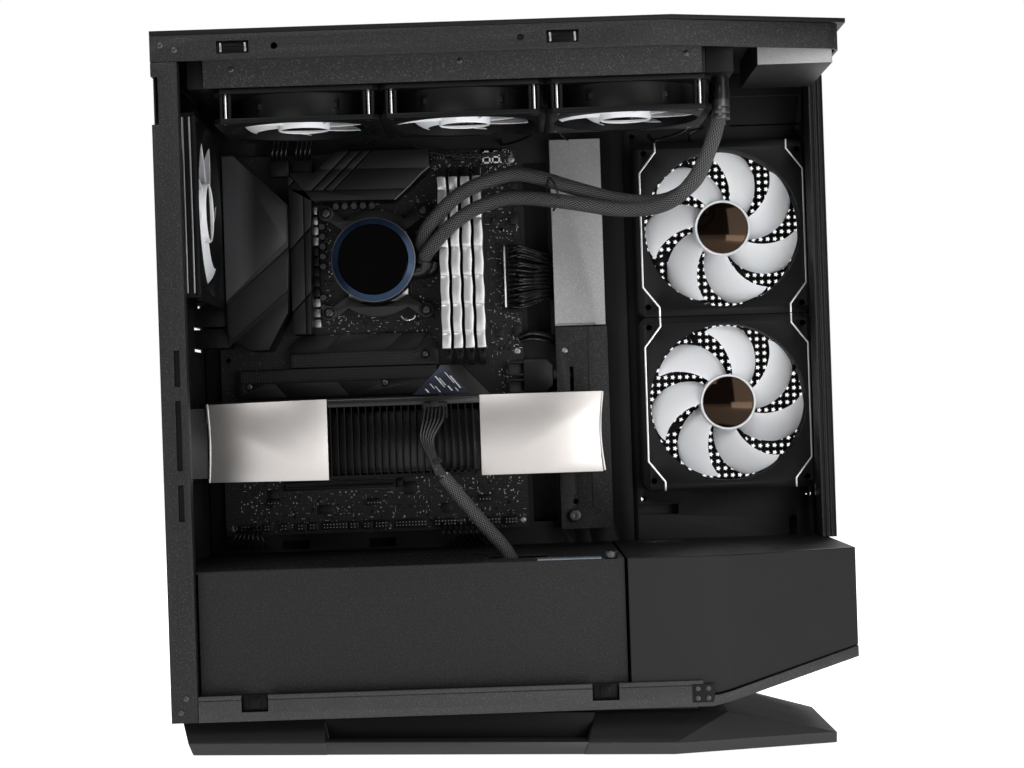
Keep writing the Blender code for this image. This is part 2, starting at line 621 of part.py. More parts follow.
def pump(chassis):
    x, z = PUMP_CENTRE
    cpu_lid = block((x - 17, x + 17), (206.2, 210.5), (z - 19, z + 19))
    cpu_socket = block((x - 24, x + 24), (210, BOARD_FACE - GAP), (z - 30, z + 30))
    piece("cpu", "bare_steel", cpu_socket, [("UNION", [cpu_lid])], parent=chassis)
    plate = prism([(x - 42, z - 37), (x - 32, z - 41), (x + 32, z - 41), (x + 42, z - 37), (x + 42, z + 37),
                   (x + 32, z + 41), (x - 32, z + 41), (x - 42, z + 37)], "y", (199, 202))
    posts = [rod((x + i, z + k), 4, "y", (195, BOARD_FACE - GAP), 12) for i in (-38, 38) for k in (-38, 38)]
    side_cuts = [block((edge, edge + 17), (198, 203), (z - 26, z + 26)) for edge in (x - 50, x + 33)]
    piece("pump_bracket", "bare_steel", plate,
          [("DIFFERENCE", [rod((x, z), 27.5, "y", (190, 210), 32)] + side_cuts), ("UNION", posts)],
          parent=chassis)
    head = rod((x, z), PUMP_RADIUS, "y", (150, 196), 48)
    cold_plate = rod((x, z), 27, "y", (195, 205.8), 32)
    elbows = [block((x + 24, x + 43), (157, 170), (107, 115)),
              block((x + 24, x + 49), (172, 185), (108, 116))]
    piece("pump_head", "black_plastic", head, [("UNION", [cold_plate] + elbows)], parent=chassis, smooth=True)


# Liquid cooler's radiator and hoses

def coolant_hoses(chassis):
    for name, points in HOSE_ROUTES.items():
        route = smooth_route([(x, y, z) for x, z, y in points], 3)
        piece(name, "black_braid", tube(route, HOSE_RADIUS), parent=chassis, smooth=True)


def radiator(chassis):
    core = block((-227, 167), (20.5, 140.5), (RADIATOR_BOTTOM, RADIATOR_TOP))
    ports = [rod((159.5, y), 5.5, "z", (232.8, RADIATOR_BOTTOM + 1), 16) for y in (45, 75)]
    waist = [block((-209, 151), (19, 21.5), (244, 263)), block((-209, 151), (139.5, 142), (244, 263))]
    piece("radiator", "black_steel", core, [("UNION", ports), ("DIFFERENCE", waist)], parent=chassis)


# Graphics card

def graphics_card(chassis):
    low, high = CARD_Z
    outer = prism([(CARD_X[0], low), (CARD_X[1], low), (CARD_X[1] - 3, (low + high) / 2),
                   (CARD_X[1] - 1.5, high),
                   (CARD_X[0], high)], "y", CARD_Y)
    window = block(CARD_WINDOW_X, (CARD_Y[0] - 1, CARD_Y[1] - 4), (low - 1, high - 6))
    fan_y = sum(CARD_Y) / 2
    rear_x, front_x = CARD_FAN_XS
    bore = CARD_FAN_RADIUS + 2
    rear_bore = rod((rear_x, fan_y), bore, "z", (low - 1, low + 22), 32)
    front_bore = rod((front_x, fan_y), bore, "z", (low - 1, high + 1), 32)
    rear_boss = rod((rear_x, fan_y), 12, "z", (low + 18, low + 23), 16)
    reach = bore + 1
    front_arm = block((front_x - reach, front_x + reach), (fan_y - 4, fan_y + 4), (high - 26, high - 20))
    front_boss = rod((front_x, fan_y), 12, "z", (high - 26, high - 18), 16)
    fingers = block((-185, -96), (CARD_Y[1] - 1, 202.7), (8, 9.6))
    piece("card_shroud", "card_silver", outer,
          [("DIFFERENCE", [window, rear_bore, front_bore]),
           ("UNION", [rear_boss, front_arm, front_boss, fingers])],
          parent=chassis)
    fin_x = (CARD_WINDOW_X[0] + GAP, CARD_WINDOW_X[1] - GAP)
    core = block(fin_x, (92.6, CARD_Y[1] - 4 - GAP), (low + 1, high - 6 - GAP))
    count = 21
    pitch = (fin_x[1] - fin_x[0]) / count
    middles = [fin_x[0] + pitch * (k + 0.5) for k in range(count)]
    slots = [block((middle - 1.7, middle + 1.7), (90, 112), (low, high - 12)) for middle in middles]
    piece("card_heatsink", "dark_heatsink", core, [("DIFFERENCE", slots)], parent=chassis)
    slot_plate = block((-248.0, -247.0), (92, 205), (low, high))
    arms = [block((-247.5, CARD_X[0] - GAP), (y, y + 3), (low + 4, high - 4)) for y in (96, 190)]
    piece("card_bracket", "bare_steel", slot_plate, [("UNION", arms)], parent=chassis)
    for name, x, level, turn in (("card_fan_rear", rear_x, low + 19, math.pi),
                                 ("card_fan_front", front_x, high - 19, 0)):
        fan_rotor(name, "black_plastic", CARD_FAN_RADIUS, 17, (x, fan_y, level), (turn, 0, 0), chassis, 16, 2)


def card_cable(chassis):
    plug = block((-67, -49), (80, 91.6), (-4, 8))
    route = smooth_route([(x, y, z) for x, z, y in CARD_CABLE_POINTS], 3)
    piece("card_power_cable", "black_braid", tube(route, 5.5, 8), [("UNION", [plug])], parent=chassis)


# Power supply

def power_supply(chassis):
    x, y = psu_fan_centre()
    box = block(PSU_X, PSU_Y, PSU_Z)
    bore = rod((x, y), 62, "z", (PSU_Z[0] - 1, PSU_Z[0] + 24), 32)
    boss = rod((x, y), 14, "z", (PSU_Z[0] + 20, PSU_Z[0] + 25), 16)
    inlet = block((PSU_X[0] - 1, PSU_X[0] + 14), (60, 87), (-160, -140))
    switch_pocket = block((PSU_X[0] - 1, PSU_X[0] + 11), (PSU_SWITCH_Y - 8, PSU_SWITCH_Y + 8), (-162, -138))
    cable_sockets = [block((PSU_X[1] - 6, PSU_X[1] + 1), (35 + 34 * k, 60 + 34 * k), (-160, -140))
                     for k in range(4)]
    piece("power_supply", "black_steel", box,
          [("DIFFERENCE", [bore, inlet, switch_pocket] + cable_sockets), ("UNION", [boss])], parent=chassis)
    fan_rotor("power_supply_fan", "black_plastic", 58.5, 20, (x, y, PSU_Z[0] + 21), (math.pi, 0, 0),
              chassis, 20, 2)
    rocker = [(-4, -9.5), (2.2, -9.5), (3.4, 0), (2.2, 9.5), (-4, 9.5)]
    shape = prism([(-x, z) for x, z in rocker], "y", (-6.5, 6.5))
    piece("power_supply_switch", "black_plastic", shape, at=(PSU_X[0] + 3.5, PSU_SWITCH_Y, -150),
          turn=(0, math.radians(-7), 0), parent=chassis)


def clear_scene():
    for item in list(bpy.data.objects):
        bpy.data.objects.remove(item)


def main():
    level = bpy.data.objects.new("level_frame", None)
    chassis = bpy.data.objects.new("chassis_frame", None)
    for empty in (level, chassis):
        bpy.context.collection.objects.link(empty)
        empty.location = Vector((CENTRE_SHIFT, -HALF_DEPTH, GROUND_DROP)) * MM
    chassis.rotation_euler.y = -BODY_PITCH
    bpy.context.view_layer.update()
    build_base(level)
    for build in (bottom_frame, rear_panel, rear_pillar, top_frame, top_cover, buttons, front_header,
                  front_pillar, motherboard_tray, side_fan_wall, right_side_panel, psu_shroud, front_bezel,
                  cable_bars, case_fans, motherboard, memory, board_heatsinks, pump, coolant_hoses, radiator,
                  graphics_card, card_cable, power_supply):
        build(chassis)


clear_scene()
MATERIALS = make_materials()
main()
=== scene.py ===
"""Looks of a desktop computer tower with an open near side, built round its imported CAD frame.

Shapes are drawn in millimetres in the chassis frame: x runs from the rear wall to the front, y from the
open side to the far side, and z up. CHASSIS leans and moves them into the row frame. The base plinth is
drawn level, with LEVEL. Rotors are drawn in their own fan's frame.
"""
import math
import random

import bmesh
import bpy
from mathutils import Euler, Matrix, Vector


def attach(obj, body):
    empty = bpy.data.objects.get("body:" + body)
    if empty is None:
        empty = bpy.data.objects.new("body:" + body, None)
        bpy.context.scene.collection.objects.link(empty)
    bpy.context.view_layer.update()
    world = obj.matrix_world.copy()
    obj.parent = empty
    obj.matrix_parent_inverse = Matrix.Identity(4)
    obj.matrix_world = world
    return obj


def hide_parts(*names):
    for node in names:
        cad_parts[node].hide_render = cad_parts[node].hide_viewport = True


MM = 0.001
LEAN = math.radians(1.75)
ORIGIN = Matrix.Translation(Vector((0.94, -125.0, 246.0)) * MM)
SCALE = Matrix.Scale(MM, 4)
LEVEL = ORIGIN @ SCALE
CHASSIS = ORIGIN @ Matrix.Rotation(-LEAN, 4, "Y") @ SCALE
AXES = "xyz"

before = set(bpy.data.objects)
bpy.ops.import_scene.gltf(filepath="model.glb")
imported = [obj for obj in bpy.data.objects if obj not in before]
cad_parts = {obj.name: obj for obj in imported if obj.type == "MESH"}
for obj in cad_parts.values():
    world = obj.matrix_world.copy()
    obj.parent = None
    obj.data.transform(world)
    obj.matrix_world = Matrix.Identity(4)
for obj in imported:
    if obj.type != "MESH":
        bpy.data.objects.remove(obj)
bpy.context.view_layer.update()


# Drawing helpers: a shape is a pair of vertex and face lists, in millimetres

def block(x, y, z):
    verts = [(i, j, k) for i in x for j in y for k in z]
    faces = [(0, 1, 3, 2), (4, 6, 7, 5), (0, 4, 5, 1), (2, 3, 7, 6), (0, 2, 6, 4), (1, 5, 7, 3)]
    return verts, faces


def lifted(point, axis, height):
    values = list(point)
    values.insert(AXES.index(axis), height)
    return tuple(values)


def prism(outline, axis, span):
    """An outline in the two axes other than axis, pushed along axis over span."""
    count = len(outline)
    verts = [lifted(point, axis, height) for height in span for point in outline]
    faces = [tuple(range(count))[::-1], tuple(range(count, 2 * count))]
    for i in range(count):
        j = (i + 1) % count
        faces.append((i, j, count + j, count + i))
    return verts, faces


def lathe(profile, centre, axis, sides=48):
    """A closed (radius, height) profile turned about axis through centre."""
    count = len(profile)
    verts = []
    for i in range(sides):
        turn = 2 * math.pi * i / sides
        for radius, height in profile:
            point = (centre[0] + radius * math.cos(turn), centre[1] + radius * math.sin(turn))
            verts.append(lifted(point, axis, height))
    faces = []
    for i in range(sides):
        j = (i + 1) % sides
        for k in range(count):
            n = (k + 1) % count
            faces.append((i * count + k, j * count + k, j * count + n, i * count + n))
    return verts, faces


def circle(centre, radius, sides=32, start=0.0):
    turn = 2 * math.pi / sides
    return [(centre[0] + radius * math.cos(start + turn * i),
             centre[1] + radius * math.sin(start + turn * i)) for i in range(sides)]


def rod(centre, radius, axis, span, sides=32):
    return prism(circle(centre, radius, sides), axis, span)


def pill(x, z, radius, sides=6):
    """An outline with round ends, upright from z[0] to z[1]."""
    half = [math.pi * k / sides for k in range(sides + 1)]
    top = [(x + radius * math.cos(a), z[1] - radius + radius * math.sin(a)) for a in half]
    low = [(x - radius * math.cos(a), z[0] + radius - radius * math.sin(a)) for a in half]
    return top + low


def slanted(x, z, run, width):
    """A slanted bar outline that climbs over z and moves run to the right."""
    return [(x, z[0]), (x + width, z[0]), (x + width + run, z[1]), (x + run, z[1])]


def cut_square(half, corner):
    near = half - corner
    return [(near, -half), (half, -near), (half, near), (near, half),
            (-near, half), (-half, near), (-half, -near), (-near, -half)]


def smooth_route(points, steps=6):
    """Points of a smooth curve through the given points."""
    points = [Vector(point) for point in points]
    padded = [2 * points[0] - points[1]] + points + [2 * points[-1] - points[-2]]
    route = []
    for before, start, end, after in zip(padded, padded[1:], padded[2:], padded[3:]):
        for step in range(steps):
            t = step / steps
            lean_in = (end - before) / 2
            lean_out = (after - start) / 2
            route.append((2 * t**3 - 3 * t**2 + 1) * start + (t**3 - 2 * t**2 + t) * lean_in
                         + (3 * t**2 - 2 * t**3) * end + (t**3 - t**2) * lean_out)
    route.append(points[-1])
    return route


def tube(route, radius, sides=8, flatness=1.0):
    """A tube along a route, closed at both ends. flatness squeezes it in its second direction."""
    route = [Vector(point) for point in route]
    verts = []
    side = None
    for i, point in enumerate(route):
        ahead = (route[min(i + 1, len(route) - 1)] - route[max(i - 1, 0)]).normalized()
        side = ahead.orthogonal() if side is None else side - ahead * side.dot(ahead)
        side.normalize()
        up = ahead.cross(side)
        for u, v in circle((0, 0), radius, sides):
            verts.append(tuple(point + side * u + up * v * flatness))
    faces = [tuple(range(sides))[::-1], tuple(range(len(verts) - sides, len(verts)))]
    for ring in range(len(route) - 1):
        for i in range(sides):
            j = (i + 1) % sides
            low = ring * sides
            faces.append((low + i, low + j, low + sides + j, low + sides + i))
    return verts, faces


def moved(shape, matrix):
    verts, faces = shape
    return [tuple(matrix @ Vector(vert)) for vert in verts], faces


def hull(points):
    form = bmesh.new()
    for point in points:
        form.verts.new(point)
    bmesh.ops.convex_hull(form, input=form.verts)
    bmesh.ops.dissolve_limit(form, angle_limit=0.001, verts=form.verts, edges=form.edges)
    form.verts.index_update()
    verts = [tuple(vert.co) for vert in form.verts]
    faces = [tuple(vert.index for vert in face.verts) for face in form.faces]
    form.free()
    return verts, faces


def screw_head(at, radius, axis="y", facing=-1, height=1.4):
    """A domed screw head with a cross recess: the pair of the head and the cut for its recess."""
    low = at[AXES.index(axis)]
    flat = [value for i, value in enumerate(at) if AXES[i] != axis]
    tip = low + facing * height
    profile = [(0.01, low), (radius, low), (radius, low + facing * height * 0.45),
               (radius * 0.8, low + facing * height * 0.85), (radius * 0.5, tip), (0.01, tip)]
    head = lathe(profile, flat, axis, 20)
    arm, width = radius * 0.55, radius * 0.14
    span = sorted((tip - facing * height * 0.5, tip + facing * 0.5))
    cross = []
    for a, b in ((arm, width), (width, arm)):
        outline = [(flat[0] - a, flat[1] - b), (flat[0] + a, flat[1] - b),
                   (flat[0] + a, flat[1] + b), (flat[0] - a, flat[1] + b)]
        cross.append(prism(outline, axis, span))
    return head, cross


# Materials

def noise_input(nodes, links, scale, detail=2.0, stretch=None):
    """A noise in object space, stretched along an axis if asked."""
    coords = nodes.new("ShaderNodeTexCoord")
    place = nodes.new("ShaderNodeMapping")
    place.inputs["Scale"].default_value = stretch or (1.0, 1.0, 1.0)
    field = nodes.new("ShaderNodeTexNoise")
    field.inputs["Scale"].default_value = scale
    field.inputs["Detail"].default_value = detail
    links.new(coords.outputs["Object"], place.inputs["Vector"])
    links.new(place.outputs["Vector"], field.inputs["Vector"])
    return field


def make_material(name, colour, roughness, metallic=0.0, grain=0.5, grain_size=0.6, grain_depth=0.05,
                  second=None, patch_size=30.0, patch=0.15, stretch=None, roughness_spread=0.12,
                  coat=0.0, speckle=0.0, subsurface=0.0, specular=0.22, glow=0.0):
    """A finish with broad colour patches, fine grain in its bump, and an uneven gloss."""
    material = bpy.data.materials.new(name)
    material.use_nodes = True
    nodes, links = material.node_tree.nodes, material.node_tree.links
    shader = nodes["Principled BSDF"]
    shader.inputs["Metallic"].default_value = metallic
    shader.inputs["Coat Weight"].default_value = coat
    shader.inputs["Coat Roughness"].default_value = 0.08
    shader.inputs["Specular IOR Level"].default_value = specular
    shader.inputs["Emission Color"].default_value = (1.0, 1.0, 1.0, 1.0)
    shader.inputs["Emission Strength"].default_value = glow
    shader.inputs["Subsurface Weight"].default_value = subsurface
    shader.inputs["Subsurface Scale"].default_value = 0.002

    fine = noise_input(nodes, links, 1000.0 / grain_size, 3.0, stretch)
    broad = noise_input(nodes, links, 1000.0 / patch_size, 2.0, stretch)

    tint = nodes.new("ShaderNodeMix")
    tint.data_type = "RGBA"
    other = second or tuple(min(1.0, value * (1.0 + 2.0 * patch)) for value in colour)
    tint.inputs["A"].default_value = (*colour, 1.0)
    tint.inputs["B"].default_value = (*other, 1.0)
    links.new(broad.outputs["Fac"], tint.inputs["Factor"])
    shown = tint.outputs["Result"]
    if speckle:
        ramp = nodes.new("ShaderNodeValToRGB")
        ramp.color_ramp.elements[0].position = 0.56
        ramp.color_ramp.elements[1].position = 0.72
        bright = nodes.new("ShaderNodeMix")
        bright.data_type = "RGBA"
        light = tuple(min(1.0, value + speckle) for value in colour)
        bright.inputs["B"].default_value = (*light, 1.0)
        links.new(fine.outputs["Fac"], ramp.inputs["Fac"])
        links.new(ramp.outputs["Color"], bright.inputs["Factor"])
        links.new(shown, bright.inputs["A"])
        shown = bright.outputs["Result"]
    links.new(shown, shader.inputs["Base Color"])

    gloss = nodes.new("ShaderNodeMapRange")
    gloss.inputs["To Min"].default_value = max(0.02, roughness - roughness_spread / 2)
    gloss.inputs["To Max"].default_value = min(1.0, roughness + roughness_spread / 2)
    links.new(broad.outputs["Fac"], gloss.inputs["Value"])
    links.new(gloss.outputs["Result"], shader.inputs["Roughness"])

    if grain:
        bump = nodes.new("ShaderNodeBump")
        bump.inputs["Strength"].default_value = grain
        bump.inputs["Distance"].default_value = grain_depth * MM
        links.new(fine.outputs["Fac"], bump.inputs["Height"])
        links.new(bump.outputs["Normal"], shader.inputs["Normal"])
    return material


# finish: (record slot, what make_material takes)
FINISHES = {
    "powder": ("black_steel", dict(
        colour=(0.0065, 0.0065, 0.007), roughness=0.5, metallic=0.0, grain=0.8, grain_size=0.9,
        grain_depth=0.08, speckle=0.03, specular=0.16)),
    "powder_light": ("black_steel", dict(
        colour=(0.0085, 0.0085, 0.009), roughness=0.48, metallic=0.0, grain=0.8, grain_size=0.9,
        grain_depth=0.08, speckle=0.045, specular=0.17)),
    "powder_rail": ("black_steel", dict(
        colour=(0.022, 0.022, 0.023), roughness=0.48, metallic=0.0, grain=0.8, grain_size=0.9,
        grain_depth=0.08, speckle=0.055)),
    # Pale sandy steel of the cable bar. On the front header's near face the same finish is a painted
    # highlight.
    "pale_sand_and_lit_face": ("black_steel", dict(
        colour=(0.2, 0.2, 0.2), roughness=0.45, metallic=0.2, grain=0.9, grain_size=0.9, grain_depth=0.08,
        speckle=0.16)),
    "black_sheet": ("black_steel", dict(
        colour=(0.003, 0.003, 0.0035), roughness=0.5, metallic=0.0, grain=0.5, grain_size=0.5,
        speckle=0.006, specular=0.14)),
    "moulded": ("grey_plastic", dict(
        colour=(0.0075, 0.0075, 0.008), roughness=0.38, grain=0.35, grain_size=0.4, grain_depth=0.03,
        specular=0.18)),
    "base_plastic": ("grey_plastic", dict(
        colour=(0.016, 0.016, 0.0165), roughness=0.42, grain=0.5, grain_size=0.5, grain_depth=0.05,
        specular=0.32)),
    "black_plastic": ("black_plastic", dict(
        colour=(0.005, 0.005, 0.0055), roughness=0.42, grain=0.3, grain_size=0.3, specular=0.15)),
    "satin_black": ("black_plastic", dict(
        colour=(0.004, 0.004, 0.0045), roughness=0.28, grain=0.1, grain_size=0.5, specular=0.25)),
    "pump_glass": ("gloss_black", dict(
        colour=(0.001, 0.001, 0.001), roughness=0.04, grain=0.0, coat=0.0, roughness_spread=0.02,
        specular=0.08)),
    # The blue second colour of the pump ring is a painted reflection: its blue patches stand in for a lamp
    # reflected in the near-black metal.
    "pump_ring": ("gloss_black", dict(
        colour=(0.004, 0.006, 0.010), roughness=0.22, metallic=0.5, grain=0.1,
        second=(0.012, 0.03, 0.065), patch_size=40)),
    "hub_mirror": ("gloss_black", dict(
        colour=(0.012, 0.0075, 0.005), roughness=0.07, metallic=0.9, grain=0.0,
        second=(0.026, 0.016, 0.010), patch_size=60, roughness_spread=0.03)),
    "fan_frame": ("fan_frame", dict(
        colour=(0.0025, 0.0026, 0.003), roughness=0.42, grain=0.4, grain_size=0.4, grain_depth=0.04,
        specular=0.10)),
    "fan_dark": ("fan_frame", dict(
        colour=(0.002, 0.002, 0.002), roughness=0.45, grain=0.3, grain_size=0.4, specular=0.08)),
    "white_blade": ("white_blade", dict(
        colour=(0.68, 0.69, 0.71), roughness=0.36, grain=0.15, grain_size=0.8, second=(0.75, 0.76, 0.78),
        patch_size=25, subsurface=0.15)),
    "silver_line": ("bare_steel", dict(
        colour=(0.55, 0.55, 0.56), roughness=0.3, metallic=0.9, grain=0.2, grain_size=0.4)),
    "heatsink": ("dark_heatsink", dict(
        colour=(0.005, 0.005, 0.0055), roughness=0.42, metallic=0.35, grain=0.5, grain_size=0.4,
        grain_depth=0.04, speckle=0.008, specular=0.18)),
    "heatsink_light": ("dark_heatsink", dict(
        colour=(0.014, 0.014, 0.0145), roughness=0.38, metallic=0.4, grain=0.4, grain_size=0.5,
        grain_depth=0.04)),
    "blue_plate": ("dark_heatsink", dict(
        colour=(0.020, 0.026, 0.040), roughness=0.33, metallic=0.4, grain=0.3, grain_size=0.4)),
    "fins": ("dark_heatsink", dict(
        colour=(0.003, 0.003, 0.0035), roughness=0.38, metallic=0.4, grain=0.2, grain_size=0.6,
        specular=0.12)),
    "card_silver": ("card_silver", dict(
        colour=(0.40, 0.38, 0.365), roughness=0.34, metallic=0.85, grain=0.5, grain_size=0.45,
        grain_depth=0.03, speckle=0.06, second=(0.46, 0.435, 0.42))),
    "memory_silver": ("memory_silver", dict(
        colour=(0.36, 0.36, 0.36), roughness=0.33, metallic=0.8, grain=0.3, grain_size=0.8,
        stretch=(1.0, 1.0, 0.15), second=(0.45, 0.45, 0.45))),
    "bright_steel": ("bare_steel", dict(
        colour=(0.62, 0.62, 0.62), roughness=0.24, metallic=1.0, grain=0.2, grain_size=0.5)),
    # Dull steel. On the rear fan's side ridges this finish is a painted highlight.
    "dull_steel_and_lit_ridges": ("bare_steel", dict(
        colour=(0.20, 0.20, 0.20), roughness=0.35, metallic=0.9, grain=0.4, grain_size=0.4)),
    "tin": ("bare_steel", dict(
        colour=(0.36, 0.36, 0.35), roughness=0.36, metallic=0.9, grain=0.4, grain_size=0.3)),
    "gold": ("bare_steel", dict(
        colour=(0.60, 0.42, 0.18), roughness=0.3, metallic=0.9, grain=0.2, grain_size=0.3)),
    "dark_screw": ("bare_steel", dict(
        colour=(0.05, 0.05, 0.052), roughness=0.32, metallic=0.8, grain=0.3, grain_size=0.3)),
    "white_print": ("circuit_board", dict(
        colour=(0.6, 0.6, 0.6), roughness=0.6, grain=0.2, grain_size=0.3)),
    "port_black": ("black_plastic", dict(
        colour=(0.003, 0.003, 0.0035), roughness=0.4, grain=0.2, grain_size=0.4, specular=0.08)),
    "display": ("gloss_black", dict(
        colour=(0.003, 0.003, 0.004), roughness=0.1, grain=0.0)),
    "light_chip": ("circuit_board", dict(
        colour=(0.20, 0.19, 0.17), roughness=0.45, grain=0.2, grain_size=0.3)),
    "chip": ("circuit_board", dict(
        colour=(0.006, 0.006, 0.0065), roughness=0.4, grain=0.3, grain_size=0.3, specular=0.15)),
    "film": ("gloss_black", dict(
        colour=(0.16, 0.19, 0.23), roughness=0.12, grain=0.15, grain_size=6, second=(0.28, 0.31, 0.35),
        patch_size=12)),
    "cable": ("black_braid", dict(
        colour=(0.004, 0.004, 0.004), roughness=0.28, grain=0.3, grain_size=0.5, specular=0.35)),
    "rubber": ("rubber", dict(
        colour=(0.014, 0.014, 0.014), roughness=0.75, grain=0.5, grain_size=0.5)),
}


def blank_nodes(name):
    material = bpy.data.materials.new(name)
    material.use_nodes = True
    nodes, links = material.node_tree.nodes, material.node_tree.links
    return material, nodes, links, nodes["Principled BSDF"]


def make_board_material():
    """Black solder mask with buried tracks and plated dots."""
    material, nodes, links, shader = blank_nodes("circuit_board_mask")
    coords = nodes.new("ShaderNodeTexCoord")
    tracks = nodes.new("ShaderNodeTexBrick")
    tracks.inputs["Scale"].default_value = 90.0
    tracks.inputs["Color1"].default_value = (0.0035, 0.004, 0.0045, 1.0)
    tracks.inputs["Color2"].default_value = (0.005, 0.0055, 0.006, 1.0)
    tracks.inputs["Mortar"].default_value = (0.010, 0.0105, 0.011, 1.0)
    tracks.inputs["Mortar Size"].default_value = 0.03
    turn = nodes.new("ShaderNodeMapping")
    turn.inputs["Rotation"].default_value = (math.radians(90), 0.0, 0.0)
    links.new(coords.outputs["Object"], turn.inputs["Vector"])
    links.new(turn.outputs["Vector"], tracks.inputs["Vector"])
    dots = nodes.new("ShaderNodeTexVoronoi")
    dots.inputs["Scale"].default_value = 330.0
    links.new(coords.outputs["Object"], dots.inputs["Vector"])
    pick = nodes.new("ShaderNodeValToRGB")
    pick.color_ramp.elements[0].position = 0.10
    pick.color_ramp.elements[0].color = (1.0, 1.0, 1.0, 1.0)
    pick.color_ramp.elements[1].position = 0.16
    pick.color_ramp.elements[1].color = (0.0, 0.0, 0.0, 1.0)
    links.new(dots.outputs["Distance"], pick.inputs["Fac"])
    mixed = nodes.new("ShaderNodeMix")
    mixed.data_type = "RGBA"
    mixed.inputs["B"].default_value = (0.09, 0.085, 0.07, 1.0)
    links.new(pick.outputs["Color"], mixed.inputs["Factor"])
    links.new(tracks.outputs["Color"], mixed.inputs["A"])
    links.new(mixed.outputs["Result"], shader.inputs["Base Color"])
    shader.inputs["Roughness"].default_value = 0.38
    shader.inputs["Specular IOR Level"].default_value = 0.2
    return material


def make_braid_material():
    """Black braided sleeve with crossing threads, drawn on the hose's own UV map; the threads' pale colour is
    a painted sheen.
    """
    material, nodes, links, shader = blank_nodes("hose_braid")
    coords = nodes.new("ShaderNodeTexCoord")
    waves = []
    for slope in (1.0, -1.0):
        place = nodes.new("ShaderNodeMapping")
        place.inputs["Rotation"].default_value = (0.0, 0.0, slope * math.radians(58))
        wave = nodes.new("ShaderNodeTexWave")
        wave.inputs["Scale"].default_value = 1.7
        wave.inputs["Distortion"].default_value = 0.0
        links.new(coords.outputs["UV"], place.inputs["Vector"])
        links.new(place.outputs["Vector"], wave.inputs["Vector"])
        waves.append(wave)
    high = nodes.new("ShaderNodeMath")
    high.operation = "MAXIMUM"
    links.new(waves[0].outputs["Fac"], high.inputs[0])
    links.new(waves[1].outputs["Fac"], high.inputs[1])
    # The threads' pale grey is a painted sheen: the braid is black, and its threads shine only near the
    # highlight.
    ramp = nodes.new("ShaderNodeValToRGB")
    ramp.color_ramp.elements[0].position = 0.90
    ramp.color_ramp.elements[0].color = (0.0025, 0.0025, 0.0025, 1.0)
    ramp.color_ramp.elements[1].position = 1.0
    ramp.color_ramp.elements[1].color = (0.15, 0.15, 0.15, 1.0)
    links.new(high.outputs["Value"], ramp.inputs["Fac"])
    links.new(ramp.outputs["Color"], shader.inputs["Base Color"])
    bump = nodes.new("ShaderNodeBump")
    bump.inputs["Strength"].default_value = 0.8
    bump.inputs["Distance"].default_value = 0.3 * MM
    links.new(high.outputs["Value"], bump.inputs["Height"])
    links.new(bump.outputs["Normal"], shader.inputs["Normal"])
    shader.inputs["Roughness"].default_value = 0.42
    shader.inputs["Specular IOR Level"].default_value = 0.15
    return material


def make_cover_material():
    """Glossy near-black plate with a painted reflection: a pale band along its rear edge that fades to near
    black.
    """
    material, nodes, links, shader = blank_nodes("cover_gloss")
    coords = nodes.new("ShaderNodeTexCoord")
    split = nodes.new("ShaderNodeSeparateXYZ")
    links.new(coords.outputs["Object"], split.inputs["Vector"])
    fade = nodes.new("ShaderNodeMapRange")
    fade.inputs["From Min"].default_value = -0.222
    fade.inputs["From Max"].default_value = -0.172
    links.new(split.outputs["X"], fade.inputs["Value"])
    # The pale band along the rear edge is a painted reflection of a lamp in the gloss.
    ramp = nodes.new("ShaderNodeValToRGB")
    ramp.color_ramp.elements[0].position = 0.18
    ramp.color_ramp.elements[0].color = (0.035, 0.035, 0.037, 1.0)
    ramp.color_ramp.elements[1].position = 0.42
    ramp.color_ramp.elements[1].color = (0.008, 0.008, 0.009, 1.0)
    links.new(fade.outputs["Result"], ramp.inputs["Fac"])
    links.new(ramp.outputs["Color"], shader.inputs["Base Color"])
    shader.inputs["Specular IOR Level"].default_value = 0.12
    shader.inputs["Roughness"].default_value = 0.25
    return material


MATERIALS = {name: make_material(name, **values) for name, (_, values) in FINISHES.items()}
SLOTS = {name: slot for name, (slot, _) in FINISHES.items()}
for made, its_slot in ((make_board_material(), "circuit_board"), (make_braid_material(), "black_braid"),
                       (make_cover_material(), "gloss_black")):
    MATERIALS[made.name] = made
    SLOTS[made.name] = its_slot


# Building helpers

def faces_point_in(verts, faces):
    volume = 0.0
    for face in faces:
        first = Vector(verts[face[0]])
        for second, third in zip(face[1:], face[2:]):
            volume += first.dot(Vector(verts[second]).cross(Vector(verts[third])))
    return volume < 0


def mesh_of(shapes, place):
    """One mesh in the row frame holding all the shapes with their faces turned out."""
    form = bmesh.new()
    for verts, faces in shapes:
        order = -1 if faces_point_in(verts, faces) else 1
        made = [form.verts.new(place @ Vector(vert)) for vert in verts]
        for face in faces:
            form.faces.new([made[i] for i in face[::order]])
    mesh = bpy.data.meshes.new("shape")
    form.to_mesh(mesh)
    form.free()
    return mesh


def bake(item):
    bpy.context.view_layer.update()
    graph = bpy.context.evaluated_depsgraph_get()
    result = bpy.data.meshes.new_from_object(item.evaluated_get(graph))
    item.modifiers.clear()
    item.data = result


def carve(item, shapes, place, operation="DIFFERENCE"):
    tool = bpy.data.objects.new("tool", mesh_of(shapes, place))
    bpy.context.collection.objects.link(tool)
    step = item.modifiers.new("step", "BOOLEAN")
    step.operation = operation
    step.solver = "EXACT"
    step.use_self = True
    step.object = tool
    bake(item)
    bpy.data.objects.remove(tool)


def soften(item, width):
    """Round the sharp edges a little, as a real edge is."""
    step = item.modifiers.new("soft", "BEVEL")
    step.width = width * MM
    step.segments = 2
    step.limit_method = "ANGLE"
    step.angle_limit = math.radians(40)
    step.use_clamp_overlap = True
    step.harden_normals = False
    bake(item)


